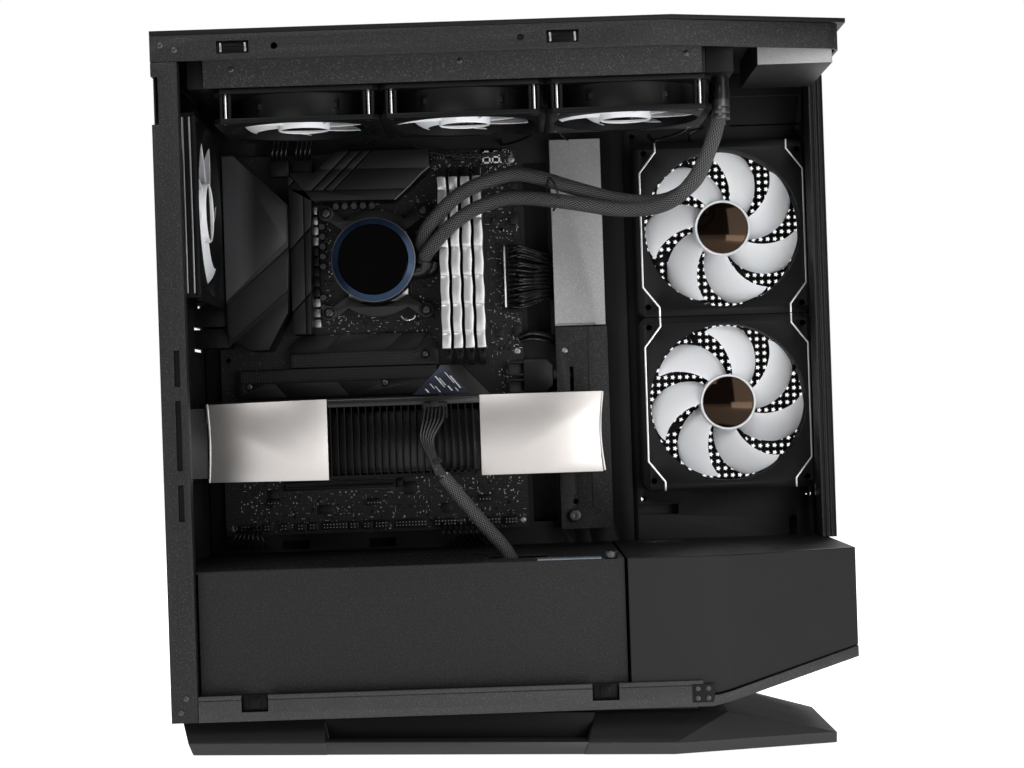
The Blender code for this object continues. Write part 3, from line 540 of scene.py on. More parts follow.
def tidy_mesh(mesh, flat_angle=0.5):
    form = bmesh.new()
    form.from_mesh(mesh)
    bmesh.ops.remove_doubles(form, verts=form.verts, dist=0.02 * MM)
    bmesh.ops.dissolve_degenerate(form, edges=form.edges, dist=0.005 * MM)
    bmesh.ops.dissolve_limit(form, angle_limit=math.radians(flat_angle), verts=form.verts, edges=form.edges,
                             delimit={"MATERIAL"})
    form.to_mesh(mesh)
    form.free()


def dress(item, finish, body, smooth, stands_for):
    item.data.materials.clear()
    item.data.materials.append(MATERIALS[finish])
    for face in item.data.polygons:
        face.material_index = 0
    item.data.shade_smooth()
    item.data.set_sharp_from_angle(angle=math.radians(smooth))
    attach(item, body)
    if stands_for:
        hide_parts(*stands_for)
    return item


def make(name, finish, shapes, cuts=(), bevel=0.0, body="chassis", place=CHASSIS, smooth=35, stands_for=()):
    """One piece from shapes that may run into each other, with cuts taken out and edges softened."""
    item = bpy.data.objects.new(name, mesh_of(shapes, place))
    bpy.context.collection.objects.link(item)
    if cuts:
        carve(item, cuts, place)
        tidy_mesh(item.data)
    if bevel:
        soften(item, bevel)
    return dress(item, finish, body, smooth, stands_for)


def refine(node, finish, cuts=(), adds=(), bevel=0.4, body="chassis", place=CHASSIS, smooth=35):
    """A finished piece that starts from a CAD node's own shape and stands for it."""
    item = bpy.data.objects.new(node + "_finished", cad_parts[node].data.copy())
    bpy.context.collection.objects.link(item)
    tidy_mesh(item.data, 1.0)
    if adds:
        carve(item, adds, place, "UNION")
    if cuts:
        carve(item, cuts, place)
        tidy_mesh(item.data)
    if bevel:
        soften(item, bevel)
    return dress(item, finish, body, smooth, [node])


def screws(name, finish, places, radius, axis="y", facing=-1, body="chassis", height=1.4):
    """A set of cross-head screws in one piece."""
    heads, recesses = [], []
    for at in places:
        head, cross = screw_head(at, radius, axis, facing, height)
        heads.append(head)
        recesses += cross
    return make(name, finish, heads, recesses, body=body, smooth=40)


# Perforated sheet, made of square cells

def flower_hole(turn):
    """Radius of a five-petal hole, as a share of its mean radius."""
    return 1.0 + 0.34 * math.cos(5 * turn)


def cell_sheet(x, z, pitch, hole, y, thickness, shape=None, samples=20, skip=None):
    """A sheet in the x-z plane with one hole per square cell. skip(x, z) leaves a cell solid."""
    verts, faces = [], []
    columns = round((x[1] - x[0]) / pitch)
    rows = round((z[1] - z[0]) / pitch)
    step_x, step_z = (x[1] - x[0]) / columns, (z[1] - z[0]) / rows
    for column in range(columns):
        for row in range(rows):
            cx, cz = x[0] + (column + 0.5) * step_x, z[0] + (row + 0.5) * step_z
            base = len(verts)
            if skip and skip(cx, cz):
                corners = [(cx - step_x / 2, cz - step_z / 2), (cx + step_x / 2, cz - step_z / 2),
                           (cx + step_x / 2, cz + step_z / 2), (cx - step_x / 2, cz + step_z / 2)]
                for depth in (y, y + thickness):
                    verts.extend((px, depth, pz) for px, pz in corners)
                faces.append((base, base + 1, base + 2, base + 3))
                faces.append((base + 7, base + 6, base + 5, base + 4))
                continue
            for i in range(samples):
                turn = 2 * math.pi * i / samples + math.pi / 4
                cos, sin = math.cos(turn), math.sin(turn)
                reach = min(step_x / 2 / max(abs(cos), 1e-9), step_z / 2 / max(abs(sin), 1e-9))
                radius = hole * (shape(turn) if shape else 1.0)
                for depth in (y, y + thickness):
                    verts.append((cx + reach * cos, depth, cz + reach * sin))
                    verts.append((cx + radius * cos, depth, cz + radius * sin))
            for i in range(samples):
                a, b = base + 4 * i, base + 4 * ((i + 1) % samples)
                faces.append((a, b, b + 1, a + 1))
                faces.append((a + 2, a + 3, b + 3, b + 2))
                faces.append((a + 1, b + 1, b + 3, a + 3))
    return verts, faces


def turned_flat(shape, height):
    """A sheet drawn in the x-z plane laid into the x-y plane at a height."""
    verts, faces = shape
    return [(x, z, height + y) for x, y, z in verts], [face[::-1] for face in faces]


def turned_rear(shape, x_at):
    """A sheet drawn in the x-z plane stood up in the y-z plane at x_at."""
    verts, faces = shape
    return [(x_at + y, x, z) for x, y, z in verts], [face[::-1] for face in faces]


def sheet_piece(name, finish, shape, body="chassis", place=CHASSIS):
    """A piece from an open-cell sheet whose faces already wind the right way."""
    verts, faces = shape
    form = bmesh.new()
    made = [form.verts.new(place @ Vector(vert)) for vert in verts]
    for face in faces:
        form.faces.new([made[i] for i in face])
    bmesh.ops.remove_doubles(form, verts=form.verts, dist=0.01 * MM)
    mesh = bpy.data.meshes.new(name)
    form.to_mesh(mesh)
    form.free()
    item = bpy.data.objects.new(name, mesh)
    bpy.context.collection.objects.link(item)
    return dress(item, finish, body, 30, ())


# Case: sheet metal and mouldings

CLIP_XS = (-191.0, 44.0)


def build_case_shell():
    top_window = block((-205, 150), (26, 136), (270, 290))
    far_window = block((-205, 150), (150, 205), (270, 290))
    refine("top_cover", "black_sheet", [top_window, far_window], bevel=0.7, body="cover")
    for name, y in (("roof_mesh_wide", (26, 136)), ("roof_mesh_narrow", (150, 205))):
        sheet_piece(name, "black_sheet",
                    turned_flat(cell_sheet((-205, 150), y, 5.0, 1.75, 0, 1.0, samples=12), 276.3),
                    body="cover")
    refine("power_button", "moulded", bevel=0.6, body="power_key")
    refine("reset_button", "moulded", bevel=0.5, body="reset_key")

    rail_cuts = [block((x - 11.5, x + 11.5), (-1, 5), (261, 270)) for x in CLIP_XS]
    rail_cuts += [rod((x, 265.5), 2.5, "y", (-1, 6), 20) for x in (-161.5, 14.0)]
    refine("top_frame", "powder_light", rail_cuts, bevel=0.5)
    clips = []
    sockets = []
    for x in CLIP_XS:
        sockets.append(block((x - 10.8, x + 10.8), (3.4, 5.5), (261.4, 269.6)))
        sockets += [block((x - 6, x + 6), (2.4, 4), (z, z + 0.5)) for z in (263.4, 266.4)]
        clips += [block((edge, edge + 1.6), (1.6, 4), (262.2, 268.8)) for edge in (x - 9.6, x + 8.0)]
    make("top_rail_clips", "dull_steel_and_lit_ridges", clips, bevel=0.35)
    make("top_rail_clip_sockets", "port_black", sockets, bevel=0.1)
    screws("top_rail_screws", "dark_screw", [(-242.5, -0.2, 268), (-232.5, -0.2, 264.5)], 2.2, height=0.8)
    refine("front_header", "powder", bevel=0.6)
    # A pale plate over the front header's near face is a painted highlight: the header is dark steel all
    # over, and only its lit near face is painted pale against its shaded underside.
    make("front_header_lit_face", "pale_sand_and_lit_face", [block((187.3, 241.7), (45.7, 46.3), (247.3, 268))], bevel=0.15)

    refine("rear_pillar", "powder_light", bevel=0.5)
    make("rear_pillar_backing", "port_black", [block((-242, -236.4), (2.6, 3.2), (-76, 56))])
    refine("rear_panel", "powder", rear_cuts(), bevel=0.3)
    build_rear_details()
    screws("rear_pillar_screws", "dark_screw", [(-239, -0.2, -197), (-243, -0.2, -207)], 2.0, height=0.8)

    lower_cuts = [block((-248, 128), (-1, 0.7), (-199.6, -199.0))]
    refine("bottom_frame", "powder_rail", lower_cuts, bevel=0.5)
    clips = []
    for x in (-190.5, 59.5):
        clips.append(block((x - 9, x + 9), (4.2, 6), (-207.5, -196.5)))
        clips.append(block((x - 4, x + 4), (2.2, 5), (-206, -198)))
    make("bottom_rail_clips", "port_black", clips, bevel=0.4)
    splice = prism([(121, -211.5), (135.5, -211.5), (137, -207.5), (137, -198.5), (121, -198.5)], "y",
                   (-0.8, 0.2))
    make("rail_splice_plate", "black_sheet", [splice], bevel=0.3)
    places = [(x, -0.8, z) for x in (125, 132.5) for z in (-201.6, -208.4)]
    screws("rail_splice_screws", "dark_screw", places, 1.7, height=0.6)

    grooves = [block((x, x + 1.1), (167.0, 169.2), (-104, 252)) for x in (241.0, 243.9, 247.6)]
    refine("front_pillar", "powder_light", grooves, bevel=0.35)
    refine("side_fan_wall", "black_sheet", fan_wall_cuts(), bevel=0.3)
    cap = [(184, 226), (242, 226), (242, 250), (184, 250)]
    make("side_fan_wall_emboss", "powder", [ribbon_upright(cap + cap[:2], 1.2, (231.2, 232.2))], bevel=0.25)
    refine("motherboard_tray", "black_sheet", tray_cuts(), bevel=0.3)
    refine("right_side_panel", "powder", [block((100, 246), (240, 255), (-79, 219))], bevel=0.5,
           body="side_panel")
    sheet_piece("side_panel_mesh", "black_sheet",
                cell_sheet((100, 246), (-79, 219), 5.9, 1.5, 248.7, 1.0, flower_hole, samples=24),
                body="side_panel")
    build_shroud_and_bezel()
    build_cable_bars()


def rear_cuts():
    """Screw dents of the rear wall."""
    return [rod((y, 30), 2.2, "x", (-252, -247), 16) for y in (108, 140)]


def fan_guard(centre, reach):
    """Which cells of the rear grille stay solid: those outside the fan's circle."""
    def outside(y, z):
        return math.hypot(y - centre[0], z - centre[1]) > reach
    return outside


def build_rear_details():
    grille = cell_sheet((35, 165), (92, 222), 6.2, 2.6, 0, 0.8, samples=12, skip=fan_guard((100, 157), 61))
    sheet_piece("rear_fan_grille", "black_sheet", turned_rear(grille, -249.8))
    places = [(-249.9, 100 + i, 157 + k) for i in (-62.5, 62.5) for k in (-62.5, 62.5)]
    screws("rear_fan_screws", "dark_screw", places, 3.2, "x", -1, height=0.05)
    places = [(-249.9, y, z) for y in (20, 170) for z in (-128, -203)]
    screws("supply_screws", "dark_screw", places, 3.0, "x", -1, height=0.05)


def fan_wall_cuts():
    cuts = [rod((x, z), 2.2, "y", (231, 235), 16) for x in (104, 238) for z in (220, -75)]
    cuts.append(prism(pill(225, (-112, -92), 3.2), "y", (231, 235)))
    return cuts


def tray_cuts():
    cuts = [rod((x, z), 1.8, "y", (221, 225), 12) for x in (48, 62, 84) for z in (230, 245, -110, -130)]
    cuts += [block((x, x + 22), (221, 225), (-106, -99)) for x in (-190, -120, -50)]
    return cuts


def build_shroud_and_bezel():
    vents = []
    for row, y in enumerate((22, 50, 78, 106)):
        for k in range(34):
            x = -224 + 5.8 * k + (2 * row)
            outline = [(x, y), (x + 2.4, y), (x + 8.4, y + 22), (x + 6, y + 22)]
            if x > -22:
                continue
            vents.append(prism(outline, "z", (-111, -106.5)))
    refine("psu_shroud", "powder", vents, bevel=0.4)
    make("shroud_film_plate", "film", [block((14, 60), (12, 34), (-107.9, -107.2))], bevel=0.2)
    knob = lathe([(0.01, -107.8), (4.2, -107.8), (4.6, -106.8), (4.6, -103.4), (4.0, -102.6), (0.01, -102.6)],
                 (67, 14), "z", 28)
    make("shroud_thumbscrew", "dark_screw", [knob], bevel=0.2)
    refine("front_bezel", "moulded", bevel=0.9, smooth=12)


def build_cable_bars():
    slot = block((36.6, 68), (202, 206), (66.2, 68.6))
    refine("cable_bar", "pale_sand_and_lit_face", [slot], bevel=0.8)
    cuts = [rod((43, 47), 2.4, "y", (202, 206), 20), rod((48, -74), 2.2, "y", (202, 206), 20),
            prism(pill(48, (-44, -24), 1.6), "y", (202, 206))]
    refine("gpu_holder_bracket", "powder_light", cuts, bevel=0.8)
    bend = prism([(61.5, -79), (63.3, -79), (63.3, 65), (61.5, 65)], "y", (202.2, 203.2))
    make("gpu_holder_bend", "powder_light", [bend], bevel=0.4)
    screws("gpu_holder_screws", "dull_steel_and_lit_ridges", [(43, 203.4, 47)], 2.6)
    knob = lathe([(0.01, 203), (5.0, 203), (5.2, 202), (5.2, 198), (4.4, 197), (0.01, 197)], (47, -85), "y",
                 28)
    make("gpu_holder_thumbscrew", "dark_screw", [knob], bevel=0.2)


def build_base():
    refine("base_plinth", "base_plastic", bevel=1.0, place=LEVEL, smooth=12)
    for end in ("rear", "front"):
        for side in ("near", "far"):
            refine(f"foot_pad_{end}_{side}", "rubber", bevel=0.4, place=LEVEL)
    nose = hull([(150, 62, -218.4), (150, 188, -218.4), (229, 70, -235.0), (229, 180, -235.0),
                 (150, 62, -217.2), (150, 188, -217.2), (222, 78, -233.2), (222, 172, -233.2)])
    for name, y in (("near", (23.0, 23.8)), ("far", (226.2, 227.0))):
        outline = [(-131, -244.4), (49, -244.4), (59, -217.5), (-137, -217.5)]
        make(f"base_{name}_recess_lining", "port_black", [prism(outline, "y", y)], bevel=0.2, place=LEVEL)
    for name, y in (("near", (0.6, 23.0)), ("far", (227.0, 249.4))):
        outline = [(-132.5, -244.4), (50.5, -244.4), (53.5, -235.5), (-135.5, -235.5)]
        make(f"base_{name}_recess_sill", "base_plastic", [prism(outline, "y", y)], bevel=0.6, place=LEVEL)
    make("base_nose_inlay", "moulded", [nose], bevel=0.4, place=LEVEL)


# Fans, drawn in their own frame: struts at z = 0, open blade side at +z

RADIATOR_FAN = 119.6
CASE_FAN = 139.5
FAN_DEPTH = 25.0
SIDE_FAN_DEPTH = 26.4
RADIATOR_FAN_XS = (-149.0, -29.0, 91.0)
RADIATOR_FAN_AT = (80.5, 238.7)
REAR_FAN_AT = (-248.2, 100.0, 157.0)
SIDE_FAN_X = 173.0
FAN_WALL_GAP_Y = 231.7
SIDE_FAN_LEVELS = {"upper": 141.3, "lower": 1.5}


def fan_place(at, turn):
    return CHASSIS @ Matrix.Translation(Vector(at)) @ Euler(turn).to_matrix().to_4x4()


def fan_bore(size):
    return 0.45 * size


def build_fan_frame(node, size, depth, place):
    """A case fan's frame: two flanges, a ribbed barrel, corner posts, four struts and the motor cup."""
    half, bore = size / 2, fan_bore(size)
    outline = cut_square(half, 5)
    shapes = [prism(outline, "z", (0, 3.6)), prism(outline, "z", (depth - 3.6, depth))]
    shapes.append(rod((0, 0), bore + 1.8, "z", (1, depth - 1), 96))
    rib = rod((0, 0), bore + 3.4, "z", (depth / 2 - 2.2, depth / 2 + 2.2), 6)
    post = half - 8
    posts = [rod((x + i, y), 1.7, "z", (1, depth - 1), 16) for x in (-post, post) for y in (-post, post)
             for i in (-2.9, 2.9)]
    cuts = [rod((0, 0), bore, "z", (-1, depth + 1), 96)]
    cuts += [rod((x, y), 2.3, "z", (-1, depth + 1), 16) for x in (-post, post) for y in (-post, post)]
    make(node + "_finished", "fan_frame", shapes + [rib] + posts, cuts, bevel=0.35, place=place,
         stands_for=[node])
    struts = [rod((0, 0), 20.5, "z", (0.2, 4.2), 64)]
    for k in range(4):
        lean = Matrix.Rotation(math.radians(90 * k + 20), 4, "Z")
        struts.append(moved(prism([(18, -2), (bore + 1, 4), (bore + 1, 8), (18, 2)], "z", (0.4, 3.4)), lean))
    make(node + "_struts", "fan_dark", struts, bevel=0.3, place=place)
    pads = []
    for x in (-post, post):
        for y in (-post, post):
            pads.append(lathe([(2.6, -0.2), (5.4, -0.2), (5.4, 0.9), (2.6, 0.9)], (x, y), "z", 24))
    make(node + "_pads", "rubber", pads, place=place)


def build_fan_screws(name, size, place):
    """The long screws that hold a fan up to the radiator, seen between its two flanges."""
    post = size / 2 - 8
    corners = [(x, y) for x in (-post, post) for y in (-post, post)]
    shanks = [rod(corner, 1.3, "z", (0.5, FAN_DEPTH - 0.5), 16) for corner in corners]
    heads = [lathe([(0.01, FAN_DEPTH - 0.9), (2.2, FAN_DEPTH - 0.9), (2.2, FAN_DEPTH - 0.3),
                    (1.4, FAN_DEPTH - 0.02),
                    (0.01, FAN_DEPTH - 0.02)], corner, "z", 20) for corner in corners]
    make(name, "bright_steel", shanks + heads, place=place)


def blade_sheet(angle, root, tip, low, high, sweep, root_width, tip_width, thickness, across=12, out=16):
    """A fan blade with a rounded tip: wide at its root, swept as it goes out, and dished across."""
    verts = []
    for side in (-1, 1):
        for i in range(out + 1):
            share = i / out
            radius = root + (tip - root) * share
            middle = angle + sweep * share ** 1.15
            width = root_width + (tip_width - root_width) * share
            for j in range(across + 1):
                chord = j / across
                edge = abs(2 * chord - 1)
                pull = 0.035 * tip * max(0.0, share - 0.75) * 4 * edge ** 4
                turn = middle + width * (chord - 0.5)
                height = low + (high - low) * (chord ** 1.15) + 1.8 * math.sin(math.pi * chord)
                rim = 1.0 - 0.75 * edge ** 6
                offset = side * thickness / 2 * rim * (1.0 - 0.35 * share)
                reach = radius - pull
                verts.append((reach * math.cos(turn), reach * math.sin(turn), height + offset))
    row = across + 1
    layer = row * (out + 1)
    faces = []
    for i in range(out):
        for j in range(across):
            a = i * row + j
            quad = (a, a + 1, a + row + 1, a + row)
            faces.append(quad[::-1])
            faces.append(tuple(layer + k for k in quad))
    edge = list(range(across)) + [i * row + across for i in range(out)]
    edge += [layer - 1 - j for j in range(across)] + [(out - i) * row for i in range(out)]
    for a, b in zip(edge, edge[1:] + edge[:1]):
        faces.append((a, b, layer + b, layer + a))
    return verts, faces


BLADE_SWEEP = math.radians(34)
ROOT_WIDTH = math.radians(44)
TIP_WIDTH = math.radians(32)
FIRST_BLADE = math.radians(-1.5)


def build_fan_rotor(node, size, depth, place, body, count=7, first=FIRST_BLADE):
    """White blades on a white ring, with a dark mirror disc for the hub's face."""
    tip = fan_bore(size) - 1.4
    hub = 0.322 * size / 2
    blades = [blade_sheet(first + 2 * math.pi * k / count, hub - 1.5, tip, 7.2, depth - 3.6, BLADE_SWEEP,
                          ROOT_WIDTH,
                          TIP_WIDTH, 1.8) for k in range(count)]
    top = depth - 0.6
    ring = lathe([(hub - 2.2, top - 1.2), (hub - 1.6, top), (hub - 0.6, top), (hub, top - 0.8), (hub, 5),
                  (hub - 2.2, 5)],
                 (0, 0), "z", 96)
    make(node + "_finished", "white_blade", blades + [ring], body=body, place=place, smooth=40,
         stands_for=[node])
    disc = lathe([(0.01, top - 2), (hub - 2.2, top - 2), (hub - 2.2, top - 0.9), (hub - 3.0, top - 0.5),
                  (0.01, top - 0.4)],
                 (0, 0), "z", 96)
    make(node + "_disc", "hub_mirror", [disc], body=body, place=place)
    cup = lathe([(0.01, 4.6), (hub - 2.4, 4.6), (hub - 2.4, top - 2.1), (0.01, top - 2.1)], (0, 0), "z", 48)
    make(node + "_cup", "fan_dark", [cup], body=body, place=place)


def accent_path(size, mirrored):
    """The bright line down one side of a side fan: straight runs joined by slants round the corners."""
    sign = -1 if mirrored else 1
    edge, inner = 0.4695 * size, 0.377 * size
    bend_high, bend_low = 0.447 * size, 0.328 * size
    points = [(-inner, half_step(size)), (-inner, bend_high), (-edge, bend_low), (-edge, -bend_low),
              (-inner, -bend_high), (-inner, -half_step(size))]
    return [(sign * x, y) for x, y in points]


def half_step(size):
    return 0.499 * size


def ribbon(points, width, span):
    """A narrow strip along a line of points in the x-y plane, with mitred corners."""
    points = [Vector(point) for point in points]
    left, right = [], []
    for i, point in enumerate(points):
        before = (point - points[max(i - 1, 0)]).normalized() if i else (points[1] - point).normalized()
        after = (points[min(i + 1, len(points) - 1)] - point).normalized() if i < len(points) - 1 else before
        across = Vector((-(before + after).y, (before + after).x)).normalized()
        reach = width / 2 / max(0.3, across.dot(Vector((-before.y, before.x))))
        left.append(tuple(point + across * reach))
        right.append(tuple(point - across * reach))
    return prism(left + right[::-1], "z", span)


def build_side_fan_face(node, size, depth, place):
    """The bright lines on the front face of a side fan's frame."""
    lines = [ribbon(accent_path(size, mirrored), 1.3, (depth - 0.4, depth + 0.25))
             for mirrored in (False, True)]
    make(node + "_accent_lines", "silver_line", lines, bevel=0.1, place=place)


def build_fans():
    down = (math.pi, 0, 0)
    for number, x in enumerate(RADIATOR_FAN_XS, 1):
        place = fan_place((x, *RADIATOR_FAN_AT), down)
        build_fan_frame(f"radiator_fan_frame_{number}", RADIATOR_FAN, FAN_DEPTH, place)
        build_fan_screws(f"radiator_fan_screws_{number}", RADIATOR_FAN, place)
        build_fan_rotor(f"radiator_fan_rotor_{number}", RADIATOR_FAN, FAN_DEPTH, place,
                        f"radiator_rotor_{number}",
                        first=FIRST_BLADE + 0.3 * number)
    place = fan_place(REAR_FAN_AT, (0, math.pi / 2, 0))
    build_fan_frame("rear_fan_frame", CASE_FAN, FAN_DEPTH, place)
    # The fan frame's plastic side ridges get a bright steel finish, a painted highlight for their lit edges.
    ridges = [block((x, x + 1.4), (30.4, 31.6), (93, 221)) for x in (-243.5, -238.5, -233.5, -228.5)]
    make("rear_fan_side_ridges", "dull_steel_and_lit_ridges", ridges, bevel=0.3)
    make("rear_fan_side_plate", "fan_dark", [block((-247.5, -224), (31.3, 32.4), (90, 224))], bevel=0.3)
    build_fan_rotor("rear_fan_rotor", CASE_FAN, FAN_DEPTH, place, "rear_rotor")
    for (level, z), first in zip(SIDE_FAN_LEVELS.items(), (FIRST_BLADE, FIRST_BLADE + 0.12)):
        place = fan_place((SIDE_FAN_X, FAN_WALL_GAP_Y, z), (math.pi / 2, 0, 0))
        build_fan_frame(f"side_fan_frame_{level}", CASE_FAN, SIDE_FAN_DEPTH, place)
        build_side_fan_face(f"side_fan_frame_{level}", CASE_FAN, SIDE_FAN_DEPTH, place)
        build_fan_rotor(f"side_fan_rotor_{level}", CASE_FAN, SIDE_FAN_DEPTH, place, f"side_rotor_{level}",
                        first=first)


# Motherboard and what it carries

MEMORY_XS = [-50.0 + 9.07 * stick for stick in range(4)]
BOARD = 214.0


def ribbon_upright(points, width, span):
    """A strip along a line of points in the x-z plane, as thick as its span in y."""
    verts, faces = ribbon(points, width, span)
    return [(x, y, z) for x, z, y in verts], faces


def build_board():
    holes = [rod((x, z), 2.0, "y", (213, 217), 16) for x in (-228, -95, 5) for z in (-88, 48, 203)]
    plate = block((-234, 10), (BOARD, 215.6), (-93.5, 211.5))
    make("motherboard_plate", "circuit_board_mask", [plate], holes, stands_for=["motherboard"])
    pegs = [rod((x, z), 3, "y", (215.6, 222), 6) for x in (-228, -95, 5) for z in (-88, 48, 203)]
    make("board_standoffs", "gold", pegs, bevel=0.3)
    screws("board_screws", "dull_steel_and_lit_ridges",
           [(5, BOARD, 203), (5, BOARD, 48), (-228, BOARD, -88), (5, BOARD, -88)], 3.1)

    sockets, catches, keys = [], [], []
    for x in MEMORY_XS:
        sockets.append(block((x - 3.3, x + 3.3), (206, BOARD), (46, 190)))
        catches.append(prism([(203.5, 38.5), (214, 38.5), (214, 46.2), (201, 46.2)], "x", (x - 2.6, x + 2.6)))
        catches.append(prism([(201, 189.8), (214, 189.8), (214, 197), (203.5, 197)], "x", (x - 2.6, x + 2.6)))
        keys.append(block((x - 0.9, x + 0.9), (205.6, 207), (49, 187)))
    make("memory_sockets", "black_plastic", sockets, keys, bevel=0.3)
    make("memory_socket_catches", "moulded", catches, bevel=0.4)

    slots, guards = [], []
    for z in (3.0, -58.0):
        slots.append(block((-185, -96), (203, BOARD), (z, z + 7)))
        slots.append(block((-95, -90), (204, BOARD), (z + 0.5, z + 6.5)))
        guards.append(block((-186, -95), (204.2, 213.9), (z - 0.6, z)))
        guards.append(block((-186, -95), (204.2, 213.9), (z + 7, z + 7.6)))
    make("card_slots", "black_plastic", slots,
         [block((-183, -98), (202, 206), (z + 2.7, z + 4.3)) for z in (3, -58)],
         bevel=0.3)
    make("card_slot_guards", "dark_screw", guards, bevel=0.2)
    build_board_edge_parts()
    build_small_parts()
    build_display()
    build_chokes()


def build_board_edge_parts():
    """Connectors along the board's lower and right edges."""
    bodies, pins = [], []
    x = -222.0
    while x < -8:
        width = random.choice((7.6, 10.2, 15.3, 20.4, 25.4))
        height = random.choice((5.2, 5.2, 8.5))
        bodies.append(block((x, x + width), (BOARD - height, BOARD), (-91, -84.5)))
        for k in range(int(width / 2.54)):
            for z in (-89, -86.5):
                pins.append(block((x + 1 + 2.54 * k, x + 1.6 + 2.54 * k), (BOARD - height - 2.5, BOARD),
                                  (z, z + 0.6)))
        x += width + random.choice((1.5, 3.5, 6.0))
    for z, tall in ((-44, 14), (-24, 14), (14, 13), (28, 13)):
        bodies.append(block((-3, 9.5), (201, BOARD), (z, z + tall - 1.5)))
    for z in (60, 150, 165, 178):
        bodies.append(block((3, 9), (207, BOARD), (z, z + 9)))
    hollows = [block((-1.4, 10), (200, 209), (z + 1.6, z + 10)) for z in (14, 28)]
    make("board_edge_connectors", "black_plastic", bodies, hollows, bevel=0.25)
    make("board_edge_pins", "tin", pins)
    fan_heads, fan_pins = [], []
    for k, (x, z) in enumerate([(-42, 203), (-58, 203), (-200, -70), (-120, -72), (-30, -72), (-75, 190)]):
        fan_heads.append(block((x, x + 10), (BOARD - 6 - k % 2, BOARD), (z, z + 5)))
        fan_pins += [block((x + 1.2 + 2.54 * i, x + 1.8 + 2.54 * i), (BOARD - 10, BOARD), (z + 2, z + 2.6))
                     for i in range(4)]
    make("fan_headers", "black_plastic", fan_heads, bevel=0.25)
    make("fan_header_pins", "tin", fan_pins)


# (x span, z span, how many small parts)
PART_AREAS = [((-16, 9), (44, 200), 300), ((-60, 6), (191, 211), 190), ((-148, -72), (64, 82), 90),
              ((-148, -142), (88, 168), 40), ((-74, -56), (60, 175), 60), ((-222, 8), (-92, -48), 620),
              ((-10, 9), (-46, 40), 110), ((-110, -62), (160, 176), 40)]


def build_small_parts():
    """Resistors, capacitors, chips and print scattered over the open parts of the board."""
    pale, dark, metal, print_marks, cans = [], [], [], [], []
    for x_span, z_span, count in PART_AREAS:
        for _ in range(count):
            x, z = random.uniform(*x_span), random.uniform(*z_span)
            kind = random.random()
            upright = random.random() < 0.5
            if kind < 0.34:
                a, b, tall = 1.0, 0.55, 0.5
                group = pale
            elif kind < 0.56:
                a, b, tall = 1.2, 0.7, 0.6
                group = metal
            elif kind < 0.72:
                a, b, tall = random.uniform(1.6, 3.2), random.uniform(1.6, 3.0), 1.0
                group = dark
            elif kind < 0.985:
                a, b, tall = random.uniform(0.8, 3.0), 0.22, 0.06
                group = print_marks
            else:
                radius = random.uniform(1.0, 1.8)
                cans.append(lathe([(0.01, BOARD), (radius, BOARD), (radius, BOARD - 3.4),
                                   (radius - 0.5, BOARD - 4),
                                   (0.01, BOARD - 4)], (x, z), "y", 16))
                continue
            if upright:
                a, b = b, a
            group.append(block((x - a / 2, x + a / 2), (BOARD - tall, BOARD + 0.1), (z - b / 2, z + b / 2)))
    make("board_resistors", "light_chip", pale)
    make("board_solder_parts", "tin", metal)
    make("board_chips", "chip", dark, bevel=0.12)
    make("board_print", "white_print", print_marks)
    make("board_capacitor_cans", "dark_screw", cans)
    large = [block((x, x + w), (BOARD - 1.4, BOARD), (z, z + h)) for x, z, w, h in
             ((-12, 60, 7, 7), (-13, 150, 6, 6), (-9, 110, 5, 9), (-200, -66, 9, 9), (-60, -80, 8, 8),
              (-160, -78, 12, 7), (-90, -64, 10, 10))]
    make("board_controllers", "chip", large, bevel=0.25)


def build_display():
    """A two-digit display that shows a plain number on each digit."""
    make("code_display_body", "display", [block((-18.5, -2.5), (209, BOARD), (198.5, 211))], bevel=0.2)
    bars = []
    for left in (-17.2, -9.6):
        wide, tall, low = 5.2, 9.0, 200.2
        for share in (1.0, 0.5, 0.0):
            z = low + tall * share
            bars.append(block((left + wide * 0.15, left + wide * 0.85), (208.8, 209.1), (z - 0.6, z + 0.6)))
        for side in (0, 1):
            for share in (0.08, 0.58):
                z = low + tall * share
                x = left + wide * side
                bars.append(block((x - 0.6, x + 0.6), (208.8, 209.1), (z, z + tall * 0.34)))
        bars.append(rod((left + wide + 1.3, low), 0.5, "y", (208.8, 209.1), 10))
    make("code_display_digits", "white_print", bars)


def build_chokes():
    """Power chokes and capacitor cans beside and above the processor."""
    cubes = [block((-157.0, -151.5), (206, BOARD), (z, z + 6.6)) for z in [72 + 8.25 * k for k in range(12)]]
    cubes += [block((-147 + 7.8 * k, -140.6 + 7.8 * k), (206, BOARD), (171, 176.5)) for k in range(6)]
    make("power_chokes", "dull_steel_and_lit_ridges", cubes[:3] + cubes[8:12], bevel=0.5)
    make("power_chokes_dark", "chip", cubes[3:8] + cubes[12:], bevel=0.5)
    cans = [(-136.8 + 7.3 * k, 168.6) for k in range(5)] + [(-148.4, 152.9 - 8.0 * k) for k in range(5)]
    cans += [(-149, 96 - 8 * k) for k in range(2)]
    shapes = []
    for x, z in cans:
        shapes.append(lathe([(0.01, 206), (2.4, 206), (3.0, 206.6), (3.0, BOARD), (0.01, BOARD)], (x, z),
                            "y", 24))
    make("power_capacitors", "dark_screw", shapes)


